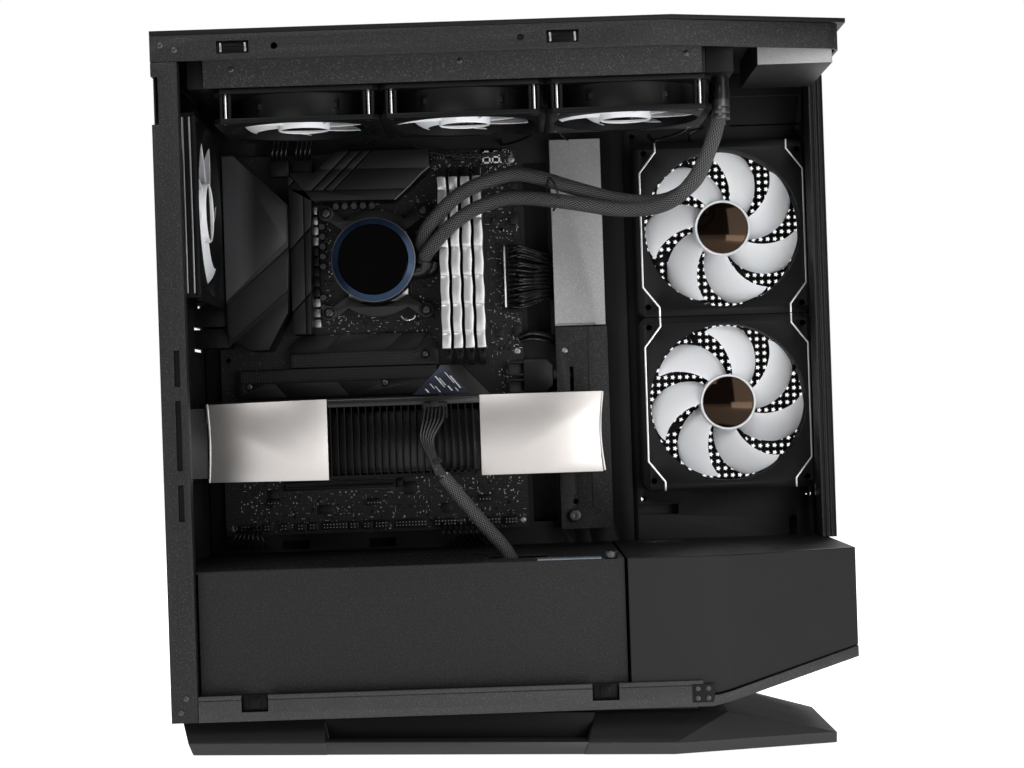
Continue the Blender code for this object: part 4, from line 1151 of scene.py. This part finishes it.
def build_heatsinks():
    foot = BOARD - 0.3
    top = [(-171.2, 193.4), (-152.6, 171.3), (-88.5, 170.3), (-60, 195), (-60, 209), (-133.5, 209.5),
           (-150, 193.6)]
    cuts = [prism(slanted(x, (178.5, 211), 33, 1.6), "y", (170, 184)) for x in (-154.5, -145.2, -137.2)]
    cuts.append(prism([(-160, 195.2), (-50, 194.0), (-50, 195.0), (-160, 196.4)], "y", (170, 179.2)))
    cuts.append(prism([(-160, 178.6), (-50, 177.4), (-50, 178.4), (-160, 179.6)], "y", (170, 181)))
    make("vrm_heatsink_top_finished", "heatsink", [prism(top, "y", (178, foot))], cuts, bevel=0.4,
         stands_for=["vrm_heatsink_top"])
    edge = [Vector((-59.5, 195.5)), Vector((-66, 190.5)), Vector((-76, 180.5)), Vector((-88, 170))]
    make("vrm_heatsink_top_edge", "dull_steel_and_lit_ridges", [ribbon_upright(edge, 0.6, (177.8, 178.4))])
    side = [(-171.8, 66), (-157.2, 66), (-153.8, 171.5), (-160, 179.8), (-171.7, 192.6)]
    cuts = [prism([(-174, 131 - 50 * k), (-174, 129.2 - 50 * k), (-150, 154.4 - 50 * k),
                   (-150, 156.2 - 50 * k)], "y",
                  (170, 182)) for k in (0, 1, -1)]
    cuts.append(prism([(-161.4, 60), (-160.6, 60), (-159.6, 179), (-160.4, 179)], "y", (170, 180)))
    make("vrm_heatsink_side_finished", "heatsink", [prism(side, "y", (178, foot))], cuts, bevel=0.4,
         stands_for=["vrm_heatsink_side"])

    upper = [(-178, 40), (-58, 40), (-58, 54), (-66, 65.5), (-167, 65.5), (-178, 56)]
    cuts = [rod((-69, 48), 4.2, "y", (203, 208), 32),
            prism([(-180, 51.2), (-76, 51.2), (-64, 66), (-65, 66), (-76.5, 52), (-180, 52)], "y",
                  (203, 204.8))]
    cuts += [prism(slanted(x, (51.8, 66), 14, 1.0), "y", (203, 204.9)) for x in (-150, -100)]
    make("m2_heatsink_upper_finished", "heatsink", [prism(upper, "y", (204, foot))], cuts, bevel=0.4,
         stands_for=["m2_heatsink_upper"])
    lower = [(-219, 17), (-60, 17), (-60, 39), (-219, 39)]
    cuts = [block((-220, -59), (203, 204.6), (28, 28.6)), rod((-211, 26), 3.4, "y", (203, 206), 24),
            rod((-102, 26), 3.4, "y", (203, 206), 24)]
    cuts += [prism(slanted(x, (16, 28), -10, 1.0), "y", (203, 204.7)) for x in (-180, -130)]
    make("m2_heatsink_lower_finished", "heatsink", [prism(lower, "y", (204, foot))], cuts, bevel=0.4,
         stands_for=["m2_heatsink_lower"])
    screws("m2_screws", "dark_screw", [(-211, 205.8, 26), (-102, 205.8, 26), (-69, 207.9, 48)], 3.0,
           height=1.5)
    for name, z, x in (("m2_mesh_upper", (40.6, 50.4), (-176, -78)),
                       ("m2_mesh_lower", (29.2, 38.2), (-217, -62))):
        sheet_piece(name, "heatsink_light", cell_sheet(x, z, 2.4, 0.75, 203.6, 0.4, samples=8))

    cover = [(-59, -40), (-12, -40), (-12, 8), (-40, 39), (-57, 39), (-59, 37)]
    cuts = [prism(slanted(-46, (4, 42), -33, 1.2), "y", (202, 205.2))]
    make("chipset_heatsink_finished", "heatsink_light", [prism(cover, "y", (203.5, foot))], cuts, bevel=0.4,
         stands_for=["chipset_heatsink"])
    make("chipset_plate", "blue_plate",
         [prism([(-80, 15.5), (-34, 15.5), (-56, 38.6)], "y", (202.6, 203.9))], bevel=0.3)
    marks = []
    strokes = [(-62, 30, 7), (-58.5, 28.5, 6), (-54, 33, 9), (-50, 30, 10), (-66, 24, 4), (-62, 22, 5),
               (-52, 22, 4), (-46, 20.5, 3), (-57, 24, 3), (-70, 20, 3)]
    for k, (x, z, run) in enumerate(strokes):
        wide = 0.8 if k % 3 else 1.3
        outline = [(x, z), (x + wide, z), (x + wide + run * 0.8, z - run), (x + run * 0.8, z - run)]
        marks.append(prism(outline, "y", (202.4, 202.7)))
    make("chipset_plate_marks", "white_print", marks)


def build_io_cover():
    """Rear connector cover: a glossy plate, a fine mesh band and a plain band, and the ports behind it."""
    outline = [(-222.5, 68), (-205, 54), (-190, 54), (-174, 83), (-172, 126), (-172, 168), (-212.5, 208.5),
               (-222.5, 208.5)]
    cuts = [prism([(-230, 84), (-160, 145), (-160, 143.6), (-230, 82.6)], "y", (160, 167.4)),
            prism([(-230, 54), (-160, 112), (-160, 110.6), (-230, 52.6)], "y", (160, 167.4))]
    make("io_cover_finished", "heatsink", [prism(outline, "y", (166, BOARD - 0.3))], cuts, bevel=0.5,
         stands_for=["io_cover"])
    plate = [(-222, 93), (-173, 139), (-173, 166.5), (-212.8, 207), (-222, 207)]
    make("io_cover_gloss_plate", "cover_gloss", [prism(plate, "y", (165.3, 166.2))], bevel=0.25)
    ridges = []
    for k in range(26):
        shift = 1.6 * k
        low, high = (-221, 58 + shift), (-174, 97 + shift * 0.98)
        if high[1] > 128:
            high = (high[0] - (high[1] - 128) * 1.0, 128)
        ridges.append(ribbon_upright([low, high], 0.55, (165.7, 166.2)))
    make("io_cover_mesh_band", "heatsink_light", ridges[:22])
    ports = []
    spans = [(57, 72), (74, 89), (92, 122), (125, 140), (143, 158), (161, 176), (179, 204)]
    for z in spans:
        ports.append(block((-249.5, -222), (172, 190) if z[1] - z[0] < 20 else (172, 186), z))
        ports.append(block((-249.5, -222), (193, 210), z))
    holes = [block((-251, -238), (174.5, 187), (z[0] + 2, z[1] - 2)) for z in spans if z[1] - z[0] < 20]
    holes += [block((-251, -238), (195, 207), (z[0] + 2, z[1] - 2)) for z in spans]
    make("rear_ports", "port_black", ports, holes, bevel=0.3)
    tongues = [block((-248, -238), (y, y + 2), (z[0] + 3.5, z[1] - 3.5)) for z in spans for y in (180, 200)]
    make("rear_port_tongues", "black_plastic", tongues, bevel=0.2)


def build_memory():
    """Memory sticks with wavy metal spreaders: their sides swell and narrow six times."""
    for number, x in enumerate(MEMORY_XS, 1):
        left, right = [], []
        for k in range(73):
            z = 50.5 + 134.5 * k / 72
            wave = 0.22 * math.sin(2 * math.pi * k / 12 + number)
            left.append((x - 3.45 - wave, z))
            right.append((x + 3.45 - 0.32 * math.sin(2 * math.pi * k / 12 + number + 0.9), z))
        spreader = prism(left + right[::-1], "y", (160, 205.7))
        facets = []
        for k in range(6):
            z = 56 + 22.4 * k
            facets.append(prism([(158, z), (160.5, z + 7), (158, z + 14)], "x", (x - 5, x + 5)))
        make(f"memory_stick_{number}_finished", "memory_silver", [spreader], facets, bevel=0.35, smooth=50,
             stands_for=[f"memory_stick_{number}"])
        make(f"memory_stick_{number}_board", "chip", [block((x - 0.7, x + 0.7), (202, 206.4), (51.5, 184))])


# Pump head, bracket and hoses

PUMP_X, PUMP_Z = -105.0, 121.5


def arc_points(centre, radius, start, end, count):
    turns = [math.radians(start + (end - start) * k / (count - 1)) for k in range(count)]
    return [(centre[0] + radius * math.cos(turn), centre[1] + radius * math.sin(turn)) for turn in turns]


def build_pump():
    centre = (PUMP_X, PUMP_Z)
    shell = lathe([(26, 154), (27.6, 151.6), (32.2, 153.4), (32.5, 155), (32.5, 190), (31.5, 196), (20, 196)],
                  centre, "y", 96)
    make("pump_head_finished", "pump_ring", [shell], smooth=30, stands_for=["pump_head"])
    face = lathe([(0.01, 150.4), (26.6, 150.6), (27.5, 151.4), (27.5, 158), (0.01, 158)], centre, "y", 96)
    make("pump_face_glass", "pump_glass", [face], smooth=30)
    trim = lathe([(32.2, 153.0), (32.9, 153.2), (32.9, 154.4), (32.2, 154.6)], centre, "y", 96)
    make("pump_trim_ring", "dark_screw", [trim], smooth=30)
    base = lathe([(0.01, 196), (27, 196), (27, 205.6), (0.01, 205.6)], centre, "y", 64)
    make("pump_cold_plate", "gold", [base])
    elbows = []
    for x_end, z, y in ((-62, 111, 163.5), (-56, 112, 178.5)):
        route = smooth_route([(-81, y, z), (-74, y, z), (x_end - 5, y, z + 2), (x_end - 2, y - 2, z + 9)], 6)
        elbows.append(tube(route, 5.6, 24))
    make("pump_elbows", "satin_black", elbows, smooth=50)
    collars = []
    for (x, z, y) in ((-66.5, 120.4, 163.3), (-63.5, 121.5, 178.5)):
        collars.append(tube([(x - 2, y, z - 3.2), (x + 1.5, y, z + 2.4)], 6.4, 28))
    make("pump_hose_collars", "black_plastic", collars, bevel=0.4)

    arms = []
    for sign in (1, -1):
        line = [(-39, sign * 40), (-33, sign * 37)] + arc_points((0, 0), 38.5, sign * 128, sign * 52, 9)
        line += [(33, sign * 37), (39, sign * 41)]
        arms.append(ribbon_upright([(PUMP_X + x, PUMP_Z + z) for x, z in line], 8.5, (197, 199.6)))
    pads = [rod((PUMP_X + x, PUMP_Z + z), 6.0, "y", (196.6, 199.8), 24) for x in (-39, 38.5)
            for z in (-38.5, 41)]
    make("pump_bracket_finished", "heatsink_light", arms + pads, bevel=0.5, stands_for=["pump_bracket"])
    springs = []
    for x in (-39, 38.5):
        for z in (-38.5, 41):
            coil = [(PUMP_X + x + 3 * math.cos(t * 0.7), 200 + t * 0.24, PUMP_Z + z + 3 * math.sin(t * 0.7))
                    for t in range(48)]
            springs.append(tube(coil, 0.4, 6))
    make("pump_screw_springs", "bright_steel", springs)
    places = [(PUMP_X + x, 196.8, PUMP_Z + z) for x in (-39, 38.5) for z in (-38.5, 41)]
    screws("pump_screws", "dark_screw", places, 4.4, height=3.4)
    loop = [(PUMP_X + 24 + 5.5 * math.cos(t), 196, PUMP_Z - 42 + 4.5 * math.sin(t))
            for t in [math.pi * (1.05 + 0.9 * k / 14) for k in range(15)]]
    make("pump_bracket_loop", "bright_steel", [tube(loop, 0.9, 10)])
    make("cpu_finished", "tin", [block((-122, -88), (206.2, 210.5), (102.5, 140.5)),
                                 block((-129, -81), (210, 213.7), (91.5, 151.5))], bevel=0.5,
                                 stands_for=["cpu"])
    frame_bars = ribbon_upright([(-131, 89), (-79, 89), (-79, 154), (-131, 154), (-131, 88)], 3.0,
                                (209, 213.6))
    make("cpu_socket_frame", "heatsink", [frame_bars], bevel=0.3)


HOSE_ROUTES = {
    "coolant_hose_lower": [(-66.5, 120.4, 163.3), (-61, 128, 157.5), (-44, 144.8, 146), (-22, 158, 139),
                           (5.5, 163.5, 128), (44, 157.5, 108), (87, 148.5, 90), (118, 150, 72),
                           (138, 165, 59),
                           (151.5, 190, 50), (157.8, 212, 46), (159.5, 231.8, 45)],
    "coolant_hose_upper": [(-63.5, 121.5, 178.5), (-67.2, 132.5, 169), (-60, 147.5, 154), (-34, 170, 141),
                           (0, 181, 132), (22, 179, 124), (55, 167, 112), (87, 157, 104), (119, 155, 97),
                           (141, 167, 89), (153, 190, 81), (158.3, 212, 76), (159.5, 231.8, 75)],
}
HOSE_RADIUS = 5.5


def uv_tube(name, finish, route, radius, sides, stands_for, u_scale=1.0):
    """A tube with a UV map in centimetres along it, for finishes that follow its length."""
    verts, faces = tube(route, radius, sides)
    item = bpy.data.objects.new(name, mesh_of([(verts, faces)], CHASSIS))
    bpy.context.collection.objects.link(item)
    lengths = [0.0]
    for a, b in zip(route, route[1:]):
        lengths.append(lengths[-1] + (b - a).length / 10)
    layer = item.data.uv_layers.new(name="length")
    for face in item.data.polygons:
        around = [item.data.loops[i].vertex_index % sides for i in face.loop_indices]
        wraps = max(around) - min(around) > sides / 2
        for loop_index in face.loop_indices:
            vertex = item.data.loops[loop_index].vertex_index
            turn = vertex % sides
            if wraps and turn == 0:
                turn = sides
            layer.data[loop_index].uv = (lengths[vertex // sides] * u_scale, turn / sides * 4.0)
    return dress(item, finish, "chassis", 60, stands_for)


def build_hoses():
    for name, points in HOSE_ROUTES.items():
        route = smooth_route([(x, y, z) for x, z, y in points], 8)
        uv_tube(name + "_finished", "hose_braid", route, HOSE_RADIUS, 32, [name])
    sleeves, crimps = [], []
    for y in (45, 75):
        sleeves.append(lathe([(4.5, 222), (6.3, 222), (6.5, 223), (6.5, 229), (6.0, 231), (6.0, 239),
                              (4.5, 239)],
                             (159.5, y), "z", 40))
        crimps.append(lathe([(4.8, 208), (6.2, 208), (6.5, 208.8), (6.5, 211), (6.1, 212), (6.5, 213),
                             (6.5, 216),
                             (6.1, 217), (6.4, 218), (6.4, 222), (4.8, 222)], (159.3, y), "z", 40))
    make("radiator_hose_sleeves", "satin_black", sleeves)
    make("radiator_hose_crimps", "dark_screw", crimps)
    clip = tube(smooth_route([(30, 120, 166), (34, 104, 176), (40, 104, 160), (36, 118, 152)], 6), 0.9, 8)
    make("hose_tie", "satin_black", [clip])


def build_radiator():
    """Radiator with end tanks, a fin stack on its flat water channels, and side rails."""
    tanks = [block((-227, -209), (20.5, 140.5), (239, 268)), block((147, 167), (20.5, 140.5), (239, 268))]
    rails = [block((-209, 147), (20.5, 22), (239, 268)), block((-209, 147), (139, 140.5), (239, 268))]
    make("radiator_finished", "port_black", tanks + rails, bevel=0.8, stands_for=["radiator"])
    channels = [block((-209, 147), (24 + 8.3 * k, 25.8 + 8.3 * k), (243, 265)) for k in range(14)]
    make("radiator_channels", "fins", channels, bevel=0.3)
    verts, faces = [], []
    for k in range(13):
        low = 26.4 + 8.3 * k
        for i in range(178):
            x = -208.5 + 2.0 * i
            shape = block((x, x + 0.25), (low, low + 5.4), (243.5, 264.5))
            base = len(verts)
            verts.extend(shape[0])
            faces.extend(tuple(base + v for v in face) for face in shape[1])
    make("radiator_fins", "fins", [(verts, faces)])
    places = [(x, 17.3, z) for x, z in ((-194.5, 252), (-30, 253), (133, 253))]
    screws("radiator_strip_screws", "dark_screw", places, 2.0, height=0.8)


# Graphics card

CARD_LOW, CARD_HIGH = -47.5, 13.5


def build_card():
    """Graphics card: silver end caps with rolled edges, black fins between them, and a dark backplate."""
    low, high = CARD_LOW, CARD_HIGH
    fan_y = 146.0
    right = [(-25, low), (66.5, low), (65.2, low + 12), (64.6, -17), (65.4, high - 14), (67.4, high - 0.5),
             (-25, high - 0.5)]
    left = [(-229.0, low + 1), (-140, low), (-140, high), (-231, high - 1.5), (-229.6, high - 16),
            (-228.8, -17),
            (-228.6, low + 14)]
    bores = [rod((-186, fan_y), 44, "z", (low - 1, low + 22), 96),
             rod((20, fan_y), 44, "z", (low - 1, high + 1), 96)]
    make("card_shroud_finished", "card_silver", [prism(right, "y", (92, 200)), prism(left, "y", (92, 200))],
         bores,
         bevel=1.6, stands_for=["card_shroud"])
    rims = []
    for x, bow in ((67.8, -2.6), (-229.9, 1.4)):
        line = [(x + bow * math.sin(math.pi * k / 14), low + 0.8 + (high - low - 1.6) * k / 14)
                for k in range(15)]
        rims.append(ribbon_upright(line, 1.5, (91.6, 199)))
    make("card_end_rims", "card_silver", rims, bevel=0.3)

    fins = [block((x, x + 0.9), (93.2, 194), (low + 0.5, high - 6.5)) for x in
            [-138.2 + 5.36 * k for k in range(21)]]
    make("card_heatsink_finished", "fins", fins, bevel=0.2, stands_for=["card_heatsink"])
    core = [block((-139.5, -25.5), (105, 194), (low + 4, high - 10))]
    core.append(prism([(-140, high - 6.5), (-25, high - 6.5), (-25, high - 0.5), (-140, high - 0.5)], "y",
                      (92.4, 197)))
    make("card_core", "satin_black", core, bevel=0.8)
    fold = [block((x + 0.9, x + 5.3), (94.0, 94.4), (low + 0.5, low + 3)) for x in
            [-138.2 + 5.36 * k for k in range(20)]]
    make("card_fin_folds", "fins", fold)
    arms = [block((-24 - 1, 65), (fan_y - 4, fan_y + 4), (high - 24, high - 21))]
    arms.append(rod((20, fan_y), 14, "z", (high - 26, high - 18), 32))
    arms.append(rod((-186, fan_y), 14, "z", (low + 18, low + 23), 32))
    make("card_fan_mounts", "satin_black", arms, bevel=0.5)
    backplate = [block((-229, 64), (93, 199), (high - 0.4, high))]
    cuts = [rod((20, fan_y), 43.5, "z", (high - 2, high + 1), 96)]
    cuts += [block((-220 + 40 * k, -196 + 40 * k), (100, 101.5), (high - 0.2, high + 1)) for k in range(4)]
    make("card_backplate", "heatsink", backplate, cuts, bevel=0.2)
    make("card_edge_contacts", "gold", [block((-184 + 1.0 * k, -183.4 + 1.0 * k), (199, 202.6), (8, 9.6))
                                        for k in range(86)])
    make("card_edge_board", "chip", [block((-185, -96), (199, 202.4), (8.3, 9.3))])
    refine("card_bracket", "satin_black",
           [block((-250, -246), (98 + 9 * k, 103 + 9 * k), (-40, 6)) for k in range(9)],
           bevel=0.2)
    ports = [block((-250, -240), (y, y + 16), (-2, 4)) for y in (104, 126, 148, 170)]
    make("card_video_ports", "tin", ports,
         [block((-251, -244), (y + 1.2, y + 14.8), (-1, 3)) for y in (104, 126, 148, 170)],
         bevel=0.25)
    for node, x, level, facing, body in (("card_fan_rear", -186.0, low + 19, math.pi, "card_rotor_rear"),
                                         ("card_fan_front", 20.0, high - 19, 0.0, "card_rotor_front")):
        place = fan_place((x, fan_y, level), (facing, 0, 0))
        blades = [blade_sheet(2 * math.pi * k / 7, 16, 41.4, 6, 13.5, BLADE_SWEEP, ROOT_WIDTH, TIP_WIDTH,
                              1.4, 8, 10)
                  for k in range(7)]
        ring = lathe([(40.6, 6.5), (41.8, 6.5), (41.8, 13), (40.6, 13)], (0, 0), "z", 96)
        hub = lathe([(0.01, 4.8), (16.5, 4.8), (16.5, 14.5), (15, 16), (0.01, 16)], (0, 0), "z", 64)
        make(node + "_finished", "satin_black", blades + [ring, hub], body=body, place=place, smooth=40,
             stands_for=[node])


CARD_CABLE_POINTS = [(-58, 2, 84), (-61, -8, 76), (-63, -21, 70), (-59, -36, 67), (-53, -47, 66),
                     (-40, -64, 67),
                     (-24, -84, 69), (-10, -101, 72), (-4, -113, 74), (-2, -126, 76)]


def build_card_cable():
    """Twelve wires fan out of the card's plug, gather in a comb, and run down in a sleeve."""
    plug = block((-67, -49), (80, 91.6), (-3.5, 8))
    cuts = [block((-66 + 2.8 * k, -64.2 + 2.8 * k), (78, 82), (-3 + 5.6 * row, -0.6 + 5.6 * row))
            for k in range(6)
            for row in range(2)]
    latch = block((-61, -55), (77.8, 81), (5, 9))
    make("card_cable_plug", "black_plastic", [plug, latch], cuts, bevel=0.4)
    wires = []
    for k in range(6):
        for row in range(2):
            x = -65.4 + 2.8 * k
            spread = (k - 2.5) / 2.5
            start = (x, 80, 0.5 + 4 * row)
            route = [start, (x - 1.5, 77 - 2 * row, -5), (-64.5 + 4.4 * spread, 72 - 2.4 * row, -19),
                     (-60 + 2.6 * spread, 68.5 - 2.4 * row, -34), (-54.6 + 3.4 * spread, 67 - 2.4 * row, -46)]
            wires.append(tube(smooth_route(route, 6), 1.15, 10))
    make("card_cable_wires", "cable", wires, smooth=60)
    comb = hull([(-61, 64, -34), (-61, 71, -34), (-55, 64, -32), (-55, 71, -32), (-60, 64, -38),
                 (-60, 71, -38),
                 (-53, 64, -36), (-53, 71, -36)])
    make("card_cable_comb", "black_plastic", [comb], bevel=0.4)
    crimps = [tube([(-58 + 2.4 * k, 65.5, -41 - 1.0 * k), (-56.6 + 2.4 * k, 65.5, -45.5 - 1.0 * k)], 1.5, 12)
              for k in range(4)]
    make("card_cable_crimps", "dull_steel_and_lit_ridges", crimps)
    route = smooth_route([(x, y, z) for x, z, y in CARD_CABLE_POINTS[4:]], 8)
    uv_tube("card_power_cable_sleeve", "hose_braid", route, 5.2, 28, ["card_power_cable"])


# Power supply

def build_power_supply():
    refine("power_supply", "black_sheet", bevel=0.4)


def build_power_supply_details():
    x, y = (-248.2 - 98.0) / 2, 95.0
    rings = []
    for radius in (14, 24, 34, 44, 54, 61):
        line = [(x + radius * math.cos(t), y + radius * math.sin(t), -209.9) for t in
                [2 * math.pi * k / 48 for k in range(49)]]
        rings.append(tube(line, 0.8, 8))
    for k in range(4):
        turn = math.radians(45 + 90 * k)
        rings.append(tube([(x + 10 * math.cos(turn), y + 10 * math.sin(turn), -209.2),
                           (x + 64 * math.cos(turn), y + 64 * math.sin(turn), -209.2)], 0.9, 8))
    make("power_supply_fan_guard", "dull_steel_and_lit_ridges", rings)
    grille = cell_sheet((24, 166), (-206, -166), 5.0, 1.9, 0, 0.5, samples=6)
    sheet_piece("power_supply_grille", "black_sheet", turned_rear(grille, -248.9))
    pins = [block((-247, -238), (66 + 5.5 * k, 68 + 5.5 * k), (-152 + 3 * (k % 2), -148 + 3 * (k % 2)))
            for k in range(3)]
    make("power_inlet_pins", "bright_steel", pins, bevel=0.3)
    refine("power_supply_switch", "satin_black", bevel=0.5, body="supply_rocker")
    refine("power_supply_fan", "satin_black", bevel=0.3, body="supply_rotor")


# Cables

def build_cables():
    """The board's power lead, the processor's leads, front panel leads and the leads from the fans."""
    plug = [block((-2, 10), (196, BOARD), (80, 133))]
    cuts = [block((-1 + 5.4 * c, 3.6 + 5.4 * c), (194, 199), (81.2 + 4.33 * k, 84.4 + 4.33 * k))
            for k in range(12)
            for c in range(2)]
    make("board_power_plug_finished", "black_plastic", plug, cuts, bevel=0.35,
         stands_for=["board_power_plug"])
    make("board_power_plug_strip", "silver_line", [block((-3.4, -2.1), (197, 206), (83, 132))], bevel=0.2)
    wires = []
    for k in range(12):
        z = 83 + 4.33 * k
        for c in range(2):
            bend = random.uniform(-3, 3)
            sag = random.uniform(-2.5, 2.5)
            route = [(1.3 + 5.4 * c, 198, z), (1.6 + 5.4 * c, 190 - 3 * c, z + sag * 0.3),
                     (10, 186 - 4 * c + bend, z + sag),
                     (20, 192 + bend, z * 0.86 + 15 + sag), (30, 208, z * 0.75 + 27),
                     (36, 224, z * 0.72 + 30)]
            wires.append(tube(smooth_route(route, 5), 1.25, 8))
    make("board_power_wires", "cable", wires, smooth=60)

    wires, combs = [], []
    for group in range(2):
        for k in range(4):
            for row in range(2):
                x = -186 + 19 * group + 3.6 * k
                route = [(x, 206 - 3 * row, 205), (x + 0.5, 200 - 3 * row, 212),
                         (x + 2.5, 203 - 3 * row, 222),
                         (x + 4, 212, 231), (x + 4, 224, 236)]
                wires.append(tube(smooth_route(route, 5), 1.2, 8))
        left = -188 + 19 * group
        combs.append(block((left, left + 15), (200, 214), (193.5, 206)))
    make("processor_power_wires", "cable", wires, smooth=60)
    make("processor_power_plugs", "black_plastic", combs, bevel=0.5)

    band = []
    for z, y in ((56, 206), (60, 203)):
        route = smooth_route([(8, y, z), (16, y - 3, z + 2), (26, y, z + 1), (38, y + 12, z - 3)], 6)
        band.append(tube(route, 2.6, 14, 0.5))
    make("front_usb_lead", "cable", band, smooth=60)
    housing = prism([(9.5, 15), (28, 15), (33, 20), (33, 36), (28, 41), (9.5, 41)], "y", (203, 212))
    make("front_usb_plug", "black_plastic", [housing], bevel=0.8)
    make("front_usb_boot", "rubber", [tube([(33, 207, 28), (44, 209, 28), (52, 220, 27)], 4.2, 20)],
         bevel=0.0)

    leads = []
    for k in range(7):
        x = -226 + 3.2 * k
        route = [(x, 205, -86), (x + 2, 198, -92), (x - 6 + 2 * k, 200, -101), (x - 10 + 3 * k, 214, -104)]
        leads.append(tube(smooth_route(route, 5), 0.8, 8))
    for k in range(9):
        x = -60 + 4.4 * k
        route = [(x, 206, -88), (x + 1, 200, -95), (x + 6, 206, -104), (x + 8, 214, -107)]
        leads.append(tube(smooth_route(route, 5), 0.8, 8))
    make("front_panel_leads", "cable", leads, smooth=60)

    leads = []
    for x in (-149, -29, 91):
        route = [(x + 52, 132, 222), (x + 50, 150, 214), (x + 30, 190, 212), (x + 26, 212, 217),
                 (x + 26, 224, 220)]
        leads.append(tube(smooth_route(route, 6), 1.6, 10, 0.6))
    for z in (70, 213):
        route = [(150, 221, z), (150, 216, z + 6), (158, 219, z + 10), (162, 229, z + 12)]
        leads.append(tube(smooth_route(route, 6), 1.2, 8))
    make("fan_leads", "cable", leads, smooth=60)
    twisted = []
    for phase in (0.0, 2.1, 4.2):
        line = [(-72 + 70 * s, 206 - 6 * math.sin(math.pi * s) + 1.1 * math.cos(24 * s + phase),
                 214 - 9 * math.sin(2.4 * s) + 1.1 * math.sin(24 * s + phase))
                 for s in [k / 60 for k in range(61)]]
        twisted.append(tube(line, 0.75, 8))
    make("twisted_lead", "cable", twisted, smooth=60)
    strap = tube(smooth_route([(46, 200, 230), (44, 196, 222), (50, 200, 216), (54, 214, 218)], 6), 1.0, 8)
    make("tray_cable_tie", "satin_black", [strap])


# Floor, camera and light

# name, place, target, (width, height), watts; in metres
AREA_LIGHTS = [
    ("key_light", (-0.9, -2.2, 1.9), (0.0, 0.0, 0.25), (1.6, 1.2), 34.0),
    ("fill_light", (1.3, -2.0, 0.9), (0.05, 0.0, 0.25), (1.4, 1.4), 20.0),
    ("floor_panel", (1.00, -1.90, 0.10), (0.15, 0.0, 0.22), (1.0, 0.3), 7.5),
    ("back_light", (0.3, 1.8, 1.6), (0.0, 0.0, 0.3), (1.6, 1.2), 25.0),
    ("top_light", (0.0, -0.2, 2.2), (0.0, 0.0, 0.3), (1.2, 1.2), 18.0),
]
WORLD_LIGHT = 0.14


def build_stage():
    mesh = bpy.data.meshes.new("floor")
    form = bmesh.new()
    bmesh.ops.create_grid(form, x_segments=8, y_segments=8, size=6.0)
    form.to_mesh(mesh)
    form.free()
    floor = bpy.data.objects.new("floor", mesh)
    bpy.context.collection.objects.link(floor)
    floor.data.materials.append(make_material("floor_paper", (0.93, 0.93, 0.93), 0.7, grain=0.1,
                                              grain_size=2.0,
                                              patch=0.02, patch_size=300, glow=0.95))

    camera_data = bpy.data.cameras.new("camera")
    camera_data.lens = 79.1
    camera_data.sensor_width = 36.0
    camera_data.shift_x = -1 / 1024
    camera_data.shift_y = 27 / 1024
    camera_data.clip_end = 100.0
    camera = bpy.data.objects.new("camera", camera_data)
    bpy.context.collection.objects.link(camera)
    look = Matrix.Rotation(math.radians(90), 4, "X") @ Matrix.Rotation(math.radians(-0.15), 4, "Z")
    camera.matrix_world = Matrix.Translation(Vector((0.94, -1725.0, 246.0)) * MM) @ look
    bpy.context.scene.camera = camera

    for name, at, target, size, power in AREA_LIGHTS:
        light = bpy.data.lights.new(name, "AREA")
        light.shape = "RECTANGLE"
        light.size, light.size_y = size
        light.energy = power
        item = bpy.data.objects.new(name, light)
        bpy.context.collection.objects.link(item)
        item.location = at
        item.rotation_euler = (Vector(target) - Vector(at)).to_track_quat("-Z", "Y").to_euler()

    world = bpy.data.worlds.new("studio")
    bpy.context.scene.world = world
    world.use_nodes = True
    nodes, links = world.node_tree.nodes, world.node_tree.links
    backdrop = nodes["Background"]
    backdrop.inputs["Color"].default_value = (1.0, 1.0, 1.0, 1.0)
    backdrop.inputs["Strength"].default_value = 1.0
    lit = nodes.new("ShaderNodeBackground")
    lit.inputs["Color"].default_value = (1.0, 1.0, 1.0, 1.0)
    lit.inputs["Strength"].default_value = WORLD_LIGHT
    path = nodes.new("ShaderNodeLightPath")
    mix = nodes.new("ShaderNodeMixShader")
    links.new(path.outputs["Is Camera Ray"], mix.inputs["Fac"])
    links.new(lit.outputs["Background"], mix.inputs[1])
    links.new(backdrop.outputs["Background"], mix.inputs[2])
    links.new(mix.outputs["Shader"], nodes["World Output"].inputs["Surface"])
    bpy.context.scene.view_settings.view_transform = "Standard"


BUILDERS = (build_case_shell, build_base, build_fans, build_board, build_heatsinks, build_io_cover,
            build_memory, build_pump, build_hoses, build_radiator, build_card, build_card_cable,
            build_power_supply, build_power_supply_details, build_cables)


random.seed(7)
for build in BUILDERS:
    build()
build_stage()
